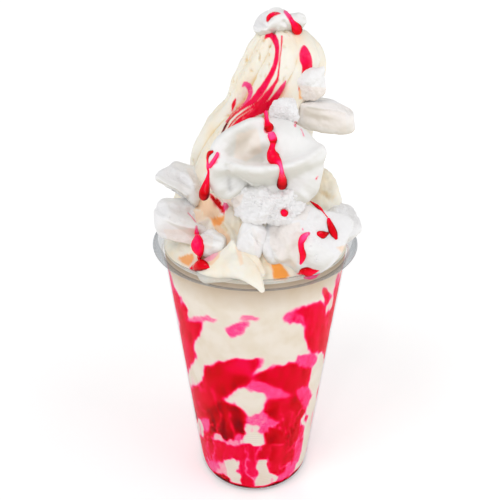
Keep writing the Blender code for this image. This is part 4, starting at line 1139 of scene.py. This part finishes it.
def lumpPoints(directions, spec):
    turn = np.array(Euler([math.radians(value) for value in spec["turn"]]).to_matrix())
    local = directions @ turn
    whole = roundedRadius(local, spec["half"], spec["square"])
    radius = whole
    draw = np.random.default_rng(spec["seed"])
    for _ in range(spec["breaks"]):
        normal = draw.normal(size=3)
        normal /= np.linalg.norm(normal)
        flatAt = roundedRadius(normal[None], spec["half"], spec["square"])[0]
        distance = flatAt * spec["cut"] * draw.uniform(0.9, 1.05)
        radius = brokenFace(radius, local, normal, distance)
    for facing, distance in spec["flats"]:
        radius = brokenFace(radius, directions, np.array(facing) / np.linalg.norm(facing), distance)
    broken = step(0.03, 0.09, (whole - radius) / whole)
    for ridge in spec["ridges"]:
        radius = radius + ridgeHeight(directions, *ridge)
    radius = radius + gritHeight(directions, spec["grit"], spec["seed"] + 100)
    return np.array(spec["middle"]) + directions * radius[:, None], broken


def ballMesh(detail):
    bm = bmesh.new()
    bmesh.ops.create_icosphere(bm, subdivisions=detail, radius=1.0)
    directions = np.array([vert.co for vert in bm.verts])
    faces = [[vert.index for vert in face.verts] for face in bm.faces]
    bm.free()
    return unit(directions), faces


balls = {detail: ballMesh(detail) for detail in (2, 5, 6)}


def makeLump(name, own):
    spec = {**usualLump, **own}
    directions, faces = balls[spec["detail"]]
    points, broken = lumpPoints(directions, spec)
    broken = np.maximum(broken, spec["allCrumb"])
    pieceName = "meringue" + name[0].upper() + name[1:]
    piece = makePiece(pieceName, points, faces, finishes["meringue"], "meringue", spec["node"])
    mesh = piece.data
    normals = normalsOf(mesh)
    seed = spec["seed"] * 10
    skin = spec["wrinkle"] * (softNoise(points, 4.0, seed) + 0.3 * softNoise(points, 1.3, seed + 1))
    heaps = sum(share * puffs(points, size, seed + 2 + i) for i, (share, size) in enumerate(crumbHeaps))
    pits = step(0.25, 0.65, softNoise(points, 1.7, seed + 5))
    crumb = spec["crumb"] * heaps - spec["pits"] * pits
    points = points + normals * (skin * (1.0 - 0.6 * broken) + crumb * broken)[:, None]
    if name in meringueFolds:
        push = normals * (1.0 - lumpShape["toView"]) + unit(eye - points) * lumpShape["toView"]
        points = points + push * sculptStrokes(points, normals, meringueFolds[name])[:, None]
    points[:, 2] = np.minimum(points[:, 2], lumpShape["highest"])
    setPoints(mesh, points)
    setMark(mesh, "broken", broken)
    # painted shade in the hollows and under faces that turn down, weaker on broken faces
    hollow = step(0.2, 1.6, grooveOf(mesh, 40)) * 0.6
    under = step(0.3, -0.6, normalsOf(mesh)[:, 2]) * 0.85
    setMark(mesh, "groove", np.maximum(hollow, under) * (1.0 - 0.7 * broken))
    markSurface(piece, meringueStrokes, pieceWarmth.get(name, []), lumpShape["wobble"], lumpShape["lift"])
    return piece


lumps = {name: makeLump(name, spec) for name, spec in meringues.items()}
print("meringue made")


# The pulled peak of cream and its tongue over the rim: x, y, height, radius
tongueShape = {
    "strands": [
        [(-20.0, -37.0, 139.0, 5.4), (-14.6, -38.4, 142.0, 6.8), (-11.4, -39.0, 146.0, 5.4),
         (-10.0, -38.6, 150.0, 2.8), (-9.6, -38.0, 153.4, 0.8)],
        [(-13.0, -37.5, 141.0, 6.2), (-9.0, -40.4, 143.8, 6.4), (-4.4, -44.4, 143.8, 5.0),
         (-0.6, -47.4, 141.8, 3.6), (1.8, -49.2, 139.4, 2.2), (3.0, -49.9, 137.2, 1.4)],
        [(-6.0, -37.0, 140.0, 4.0), (-4.6, -38.4, 149.2, 1.4), (-3.0, -39.4, 146.6, 3.2),
         (-0.4, -41.0, 143.6, 3.5), (2.6, -42.4, 141.0, 2.0)],
    ],
    "front": -51.0, "voxel": 0.42, "sides": 18, "soften": 0.5, "softenTimes": 9,
}


def roundedEnds(rows):
    # short narrow steps at both ends, so that a tube closes like a drop
    made = list(rows)
    for end, beside, place in ((rows[0], rows[1], 0), (rows[-1], rows[-2], None)):
        beyond = (end - beside)[:3] / np.linalg.norm((end - beside)[:3])
        for share, narrow in ((0.35, 0.93), (0.65, 0.75), (0.88, 0.45), (0.98, 0.15)):
            tip = np.concatenate([end[:3] + beyond * end[3] * share, [end[3] * narrow], end[4:]])
            made.insert(len(made) if place is None else place, tip)
    return np.array(made)


def tubeSkin(rows, sides, flat=1.0, lean=None):
    # points and faces of a closed tube; flat squeezes it along the direction lean
    spots = rows[:, :3]
    run = unit(np.gradient(spots, axis=0))
    out = np.tile((0.0, -1.0, 0.3), (len(rows), 1)) if lean is None else lean
    out = unit(out - (out * run).sum(-1, keepdims=True) * run)
    side = np.cross(run, out)
    angle = turnSteps(sides)[None, :, None]
    ring = side[:, None] * np.cos(angle) + out[:, None] * np.sin(angle) * flat
    points = spots[:, None] + ring * rows[:, 3][:, None, None]
    points = np.vstack([points.reshape(-1, 3), spots[:1], spots[-1:]])
    return points, ringFaces(len(rows), sides)


def joinSkins(skins):
    points = []
    faces = []
    start = 0
    for somePoints, someFaces in skins:
        points.append(somePoints)
        faces.extend([[index + start for index in face] for face in someFaces])
        start += len(somePoints)
    return np.vstack(points), faces


# Pink where the cream runs beside a drop, and painted warm shade in the folds
tongueStrokes = [[(202.0, 258.0, 2.6, 0.12), (208.0, 257.0, 4.6, 0.14), (215.0, 253.4, 3.0, 0.12)]]
tongueShadePatches = [(0.3, [(235, 247), (240, 246), (243, 256), (244, 264), (240, 266), (238, 256)]),
                 (0.5, [(199, 250), (221, 249), (219, 257), (211, 266), (203, 263)])]


def makeTongue():
    shape = tongueShape
    skins = [tubeSkin(roundedEnds(smoothPath(rows, 6)), shape["sides"]) for rows in shape["strands"]]
    points, faces = joinSkins(skins)
    piece = makePiece("pulledCream", points, faces, finishes["cream"], "soft_serve", "soft_serve_tongue")
    cast = piece.modifiers.new("one skin", "REMESH")
    cast.mode = "VOXEL"
    cast.voxel_size = shape["voxel"] * mm
    soft = piece.modifiers.new("softened", "SMOOTH")
    soft.factor = shape["soften"]
    soft.iterations = shape["softenTimes"]
    bpy.context.view_layer.update()
    mesh = bpy.data.meshes.new_from_object(piece.evaluated_get(bpy.context.evaluated_depsgraph_get()))
    piece.modifiers.clear()
    piece.data = mesh
    mesh.shade_smooth()
    mesh.materials.clear()
    mesh.materials.append(finishes["cream"])
    points = pointsOf(mesh)
    rise = softNoise(points, 6.0, 71) * 0.35 + softNoise(points * (1.0, 1.0, 0.4), 2.4, 72) * 0.12
    points += normalsOf(mesh) * rise[:, None]
    points[:, 1] = np.maximum(points[:, 1], shape["front"])
    setPoints(mesh, points)
    # painted shade in the creases of the pulled cream
    setMark(mesh, "groove", step(0.05, 0.5, grooveOf(mesh, 30)) * 0.7)
    markSurface(piece, tongueStrokes, tongueShadePatches)
    return piece


tongue = makeTongue()
print("pulled cream made")


# Thick drops of sauce: rows of picture x, y, half width, tone, laid on the pieces from the front
thickSauce = {
    "dome": [(265.8, 113, 2.2, 0.48), (266.6, 118.4, 2, 0.48), (267.2, 122.6, 2.6, 0.6),
        (268.4, 126, 4.4, 0.72), (268.8, 127.6, 4.9, 0.86)],
    "domeUpper": [(270.2, 132.8, 2.6, 0.34), (271.2, 134.6, 3.9, 0.38), (272.8, 138.8, 4.2, 0.46),
        (273.2, 141, 3.8, 0.9), (272.8, 144.4, 2.8, 0.6), (271.9, 148.6, 3.2, 0.66),
        (272.2, 153.4, 5.4, 0.68), (274.2, 158.6, 6.6, 0.7), (277.4, 161.6, 4.6, 0.66),
        (280, 164.4, 2.3, 0.42), (281.4, 168.8, 1.9, 0.36), (281.8, 174, 2.9, 0.6), (282, 179.6, 4.8, 0.84),
        (282, 184.4, 5.5, 0.96)],
    "domeLeft": [(212.4, 151.6, 1.4, 0.84), (209.6, 153.6, 2.6, 0.86), (208.2, 157.4, 2.2, 0.8),
        (208, 162, 1.7, 0.5), (208.4, 167, 2.3, 0.46), (208.6, 172, 1.4, 0.62), (207.6, 179, 2.2, 0.66),
        (206.2, 186, 4.6, 0.72), (205, 192, 6, 0.84), (204.6, 194.4, 6, 0.92)],
    "domeLeftLoop": [(217.4, 153.4, 1.4, 0.4), (216, 157.2, 2, 0.44), (213, 162, 2.2, 0.46),
        (210, 166.4, 2, 0.5)],
    "cap": [(291.6, 20.6, 1.9, 0.5), (293.4, 23.6, 2.9, 0.64), (296, 27.4, 4.8, 0.76),
        (297.2, 29.6, 5, 0.84)],
    "capLeft": [(268.2, 19.4, 1.8, 0.74), (269.6, 16.6, 2.2, 0.7), (273.2, 14.6, 2, 0.6)],
    "bead": [(284.2, 212, 3.8, 0.66), (284.6, 213, 3.9, 0.74)],
    "wedge": [(310.4, 201.4, 0.6, 0.84), (313.4, 203.8, 1.5, 0.84), (317.4, 206.8, 2.3, 0.8),
        (320.6, 209.2, 1.7, 0.78), (323.6, 212.4, 0.6, 0.66), (327.4, 217.2, 0.5, 0.6)],
    "leftLower": [(196.6, 230.4, 1.6, 0.4), (196.8, 236, 3.4, 0.54), (197.8, 243, 6.9, 0.54),
        (198.6, 249, 6.7, 0.6), (199.4, 255, 3.4, 0.74), (199.6, 260.4, 1.6, 0.72),
        (199.8, 264, 1.6, 0.74)],
    "chunkCurl": [(306.4, 234.6, 2.2, 0.34), (303.4, 237.6, 3.6, 0.42), (301.2, 242.4, 3.1, 0.56),
        (301.6, 248.6, 3.2, 0.66), (303, 254.4, 3.4, 0.72), (302.2, 259.4, 2.6, 0.66),
        (300.6, 263.6, 1.2, 0.5)],
    "chunkBlob": [(319.6, 233.8, 3, 0.78), (323.4, 234.6, 4, 0.84), (327.4, 233.4, 1.6, 0.95)],
    "chunkRight": [(328.6, 219.4, 1.7, 0.64), (329.6, 223.4, 2.9, 0.78), (331.4, 228.6, 3.9, 0.84),
        (334, 234, 3.6, 0.84), (336, 238, 1.8, 0.8)],
    "leftPuddle": [(191.4, 268.4, 1.2, 0.76), (195.6, 267, 4.2, 0.8), (201.6, 265.2, 6, 0.84),
        (206.6, 266.2, 3.6, 0.8), (209, 267.2, 0.9, 0.7)],
    "rightPuddle": [(299.4, 273.4, 1.2, 0.7), (303.8, 271.4, 4.6, 0.78), (308.6, 271.4, 5.4, 0.76),
        (314.4, 271, 2.8, 0.7), (318.4, 270.6, 0.7, 0.7)],
    "rightTail": [(304.6, 278, 0.8, 0.3), (309, 277.2, 2.4, 0.4), (314.6, 275.6, 2.6, 0.42),
        (319, 273.8, 1, 0.36)],
}
# A drop that hangs over a piece's edge keeps to that piece; the others lie on whatever is nearest
sauceCarrier = {"dome": "dome", "domeUpper": "dome", "domeLeft": "dome", "domeLeftLoop": "dome", "cap": "cap",
                "capLeft": "cap", "wedge": "chunkRight"}
sauceShape = {"flat": 0.6, "sink": 0.18, "sides": 24, "steps": 5, "edge": 0.16, "paintedHighlight": 0.07,
              "thinnest": 0.3, "toView": 0.6, "calm": 4}


def carrierTrees(pieces):
    seen = bpy.context.evaluated_depsgraph_get()
    return [BVHTree.FromObject(piece, seen) for piece in pieces]


def firstHit(trees, origin, line):
    best = None
    for tree in trees:
        spot, normal, _, distance = tree.ray_cast(Vector(origin * mm), Vector(line))
        if spot is not None and (best is None or distance < best[2]):
            best = (np.array(spot) / mm, np.array(normal), distance)
    return best


def laySauce(rows, trees):
    # the stroke's rows as x, y, z, radius and tone on the surface, and the way the surface faces
    path = smoothPath(rows, sauceShape["steps"])
    path[:, 2] = np.maximum(path[:, 2], sauceShape["thinnest"])
    hits = [firstHit(trees, eye, lineOfSight(x, y)) for x, y, _, _ in path]
    known = [i for i, hit in enumerate(hits) if hit is not None]
    if len(known) < 2:
        return None
    every = np.arange(len(path))
    away = np.interp(every, known, [hits[i][2] / mm for i in known])
    facing = np.stack([np.interp(every, known, [hits[i][1][axis] for i in known]) for axis in range(3)], -1)
    # the stroke bridges small dips and turns smoothly
    pull = np.array([0.25, 0.5, 0.25])
    for _ in range(sauceShape["calm"]):
        padded = np.pad(away, 1, mode="edge")
        away = np.minimum(away, np.convolve(padded, pull, mode="valid"))
        padded = np.pad(facing, ((1, 1), (0, 0)), mode="edge")
        facing = padded[:-2] * 0.25 + padded[1:-1] * 0.5 + padded[2:] * 0.25
    lines = np.array([lineOfSight(x, y) for x, y, _, _ in path])
    radius = path[:, 2] * away / view["focal"]
    facing = unit(unit(facing) - lines * sauceShape["toView"])
    spots = eye + lines * away[:, None] + facing * (radius * sauceShape["sink"])[:, None]
    return np.column_stack([spots, radius, path[:, 3]]), facing


def makeSauce():
    trees = carrierTrees([*lumps.values(), swirl, fill, tongue])
    skins = []
    tones = []
    for name, rows in thickSauce.items():
        carrier = sauceCarrier.get(name)
        laid = laySauce(rows, carrierTrees([lumps[carrier]]) if carrier else trees)
        if laid is None:
            continue
        rows, facing = laid
        ended = roundedEnds(rows)
        extra = (len(ended) - len(rows)) // 2
        lean = np.pad(facing, ((extra, extra), (0, 0)), mode="edge")
        points, faces = tubeSkin(ended, sauceShape["sides"], sauceShape["flat"], lean)
        skins.append((points, faces))
        # a drop is darker along its edges, painted shade where light goes a longer way through it, and paler
        # in the middle of its outer face, a painted highlight
        around = turnSteps(sauceShape["sides"])
        edge = sauceShape["edge"] * np.abs(np.cos(around)) ** 6
        paintedHighlight = sauceShape["paintedHighlight"] * np.maximum(np.sin(around), 0.0) ** 3
        tone = ended[:, 4][:, None] + (edge - paintedHighlight)
        tones.append(np.concatenate([tone.ravel(), ended[[0, -1], 4]]))
    points, faces = joinSkins(skins)
    piece = makePiece("sauceDrops", points, faces, finishes["sauce"], "berry_sauce")
    setMark(piece.data, "tone", np.concatenate(tones))


makeSauce()
print("sauce laid")


# Loose crumbs between the pieces, strewn over areas of picture x, y, width, height and number

crumbShape = {
    "areas": [(268, 205, 26, 12, 26), (318, 246, 18, 16, 5), (300, 214, 22, 8, 12), (172, 220, 8, 5, 5)],
    "size": (0.3, 0.95), "standOut": 0.3, "seed": 5,
}


def makeCrumbs():
    draw = np.random.default_rng(crumbShape["seed"])
    trees = carrierTrees([*lumps.values(), swirl, fill])
    directions, ballFaces = balls[2]
    skins = []
    for x, y, wide, tall, number in crumbShape["areas"]:
        for _ in range(number):
            line = lineOfSight(x + draw.normal() * wide / 2, y + draw.normal() * tall / 2)
            hit = firstHit(trees, eye, line)
            size = draw.uniform(*crumbShape["size"]) * draw.uniform(0.5, 1.0)
            if hit is None:
                continue
            stretch = draw.uniform(0.6, 1.2, 3)
            wobble = 1.0 + 0.35 * softNoise(directions * 2.0, 1.2, int(draw.integers(1, 9000)))
            middleSpot = hit[0] + hit[1] * size * crumbShape["standOut"]
            skins.append((middleSpot + directions * stretch * (size * wobble)[:, None], ballFaces))
    points, faces = joinSkins(skins)
    piece = makePiece("meringueCrumbs", points, faces, finishes["meringue"], "meringue")
    setMark(piece.data, "broken", np.ones(len(points)))
    for name in ("sauce", "tone", "warm", "groove"):
        setMark(piece.data, name, np.zeros(len(points)))


makeCrumbs()
print("crumbs made")


# The clear cup

def arc(centreX, centreZ, wide, tall, turns):
    return [(centreX + wide * math.cos(math.radians(turn)), centreZ + tall * math.sin(math.radians(turn)))
            for turn in turns]


def cupProfile():
    # half outlines of the outside, from the rim down, and of the inside, from the foot up
    shape = cupShape
    wall = shape["wall"]
    heel = shape["heel"]
    beadMiddle = shape["height"] - shape["rimTall"] / 2
    beadHalf = (shape["rim"] - wallInner(beadMiddle)) / 2
    under = shape["height"] - shape["rimTall"] - wall / 2
    outside = arc(shape["rim"] - beadHalf, beadMiddle, beadHalf, shape["rimTall"] / 2, shape["beadTurns"])
    outside.append((wallOuter(under), under))
    # the stacking step under the rim and the fine rings of the foot stand a little out from the wall
    for height in np.linspace(under - 1.0, heel + 1.0, shape["outerRows"]):
        stepOut = shape["stackOut"] * math.exp(-((height - shape["stackAt"]) / shape["stackTall"]) ** 2)
        ribbed = height < shape["ribTop"]
        rib = shape["ribOut"] * max(0.0, math.sin(height * shape["ribTurn"])) * ribbed
        outside.append((wallOuter(height) + stepOut + rib, height))
    footOuter = wallOuter(heel) - heel
    outside += [(x, heel - z) for x, z in arc(footOuter, 0.0, heel, heel, shape["heelTurns"])]
    ringInner = footOuter - shape["ringWidth"]
    pushUp = shape["pushUp"]
    outside += [(ringInner, 0.0), (ringInner - shape["pushUpSlope"], pushUp), (0.0, pushUp + shape["dome"])]
    inside = [(0.0, pushUp + shape["dome"] + wall), (ringInner - 0.8, pushUp + wall), (ringInner + 0.8, wall),
              (footOuter, wall), (wallInner(heel) - wall / 2, heel / 2 + wall / 2)]
    inside += [(wallInner(height), height)
               for height in np.linspace(2 * heel, beadMiddle, shape["innerRows"])]
    return outside, inside


def makeCup():
    outside, inside = cupProfile()
    around = cupShape["around"]
    # a pinhole in the middle of the foot keeps every face a quad
    outside[-1] = (cupShape["pinhole"], outside[-1][1])
    inside[0] = (cupShape["pinhole"], inside[0][1])
    rows = np.array(outside + inside)
    angle = turnSteps(around)
    x = rows[:, :1] * np.cos(angle)
    y = rows[:, :1] * np.sin(angle)
    z = np.repeat(rows[:, 1:], around, axis=1)
    points = np.stack([x, y, z], -1).reshape(-1, 3)
    count = len(rows)
    faces = []
    for ring in range(count):
        base = ring * around
        beyond = (ring + 1) % count * around
        for k in range(around):
            after = (k + 1) % around
            faces.append((base + k, beyond + k, beyond + after, base + after))
    piece = makePiece("clearCup", points, faces, finishes["clear"], "clear_plastic", "cup")
    piece.data.materials.append(finishes["rim"])
    beadRings = len(cupShape["beadTurns"])
    onBead = [int(ring < beadRings) for ring in range(count) for _ in range(around)]
    piece.data.polygons.foreach_set("material_index", onBead)


makeCup()
print("cup made")


# Floor, light and camera

studio = {
    "white": (1.0, 1.0, 1.0, 1.0), "room": 0.52, "backdrop": 1.0, "lookAt": (0.0, 0.0, 0.16),
    # lamps: x, y, z, size and power
    "lamps": {"key": (-0.38, -0.36, 0.74, 0.3, 1.22), "fill": (0.55, -0.24, 0.5, 0.5, 1.1),
              "sparkle": (-0.12, -0.5, 0.6, 0.07, 0.3)},
}
floorLook = {
    "half": 12.0, "height": -0.0002, "speck": 4.0,
    "dark": (0.93, 0.93, 0.93, 1.0), "light": (0.95, 0.95, 0.95, 1.0),
    "glowNear": (0.34, 0.34, 0.34, 1.0), "glowFar": (0.6, 0.6, 0.6, 1.0), "farFrom": 0.12, "farOver": 0.5,
    "roughness": 0.8,
}


def intoScene(made):
    bpy.context.scene.collection.objects.link(made)
    return made


def makeFloor():
    # pale all over, and as bright as the room behind it where it is far off
    look = floorLook
    made = Finish("pale floor")
    colour = made.mix(made.noise(look["speck"]), look["dark"], look["light"])
    away = made.add("ShaderNodeVectorMath", {"operation": "LENGTH"}, {0: made.place()}, out="Value")
    glow = made.mix(((away - look["farFrom"]) / look["farOver"]).clamped(), look["glowNear"], look["glowFar"])
    made.skin({"Base Color": colour, "Roughness": look["roughness"], "Emission Color": glow,
               "Emission Strength": 1.0})
    half = look["half"]
    corners = [(x * half, y * half, look["height"]) for x, y in ((-1, -1), (1, -1), (1, 1), (-1, 1))]
    mesh = bpy.data.meshes.new("floor")
    mesh.from_pydata(corners, [], [(0, 1, 2, 3)])
    mesh.materials.append(made.material)
    floor = intoScene(bpy.data.objects.new("floor", mesh))


def addLamp(name, x, y, z, size, power):
    lamp = bpy.data.lights.new(name, "AREA")
    lamp.size = size
    lamp.energy = power
    made = intoScene(bpy.data.objects.new(name, lamp))
    made.location = (x, y, z)
    made.rotation_euler = (Vector(studio["lookAt"]) - made.location).to_track_quat("-Z", "Y").to_euler()


def addRoom():
    # a soft white room for the light, and plain white where the camera sees past the floor
    world = bpy.data.worlds.new("white room")
    world.use_nodes = True
    tree = world.node_tree
    light = tree.nodes["Background"]
    backdrop = tree.nodes.new("ShaderNodeBackground")
    for node, strength in ((light, studio["room"]), (backdrop, studio["backdrop"])):
        node.inputs["Color"].default_value = studio["white"]
        node.inputs["Strength"].default_value = strength
    seen = tree.nodes.new("ShaderNodeLightPath")
    share = tree.nodes.new("ShaderNodeMixShader")
    tree.links.new(seen.outputs["Is Camera Ray"], share.inputs[0])
    tree.links.new(light.outputs[0], share.inputs[1])
    tree.links.new(backdrop.outputs[0], share.inputs[2])
    tree.links.new(share.outputs[0], tree.nodes["World Output"].inputs["Surface"])
    bpy.context.scene.world = world
    bpy.context.scene.view_settings.view_transform = "Standard"


def addCamera():
    lens = bpy.data.cameras.new("camera")
    lens.sensor_width = 36.0
    lens.lens = view["focal"] * lens.sensor_width / view["picture"]
    lens.clip_start = 0.01
    made = intoScene(bpy.data.objects.new("camera", lens))
    turn = Matrix((right, up, -forward)).transposed().to_4x4()
    turn.translation = Vector(eye * mm)
    made.matrix_world = turn
    bpy.context.scene.camera = made


makeFloor()
for lampName, lamp in studio["lamps"].items():
    addLamp(lampName, *lamp)
addRoom()
addCamera()
print("studio set")
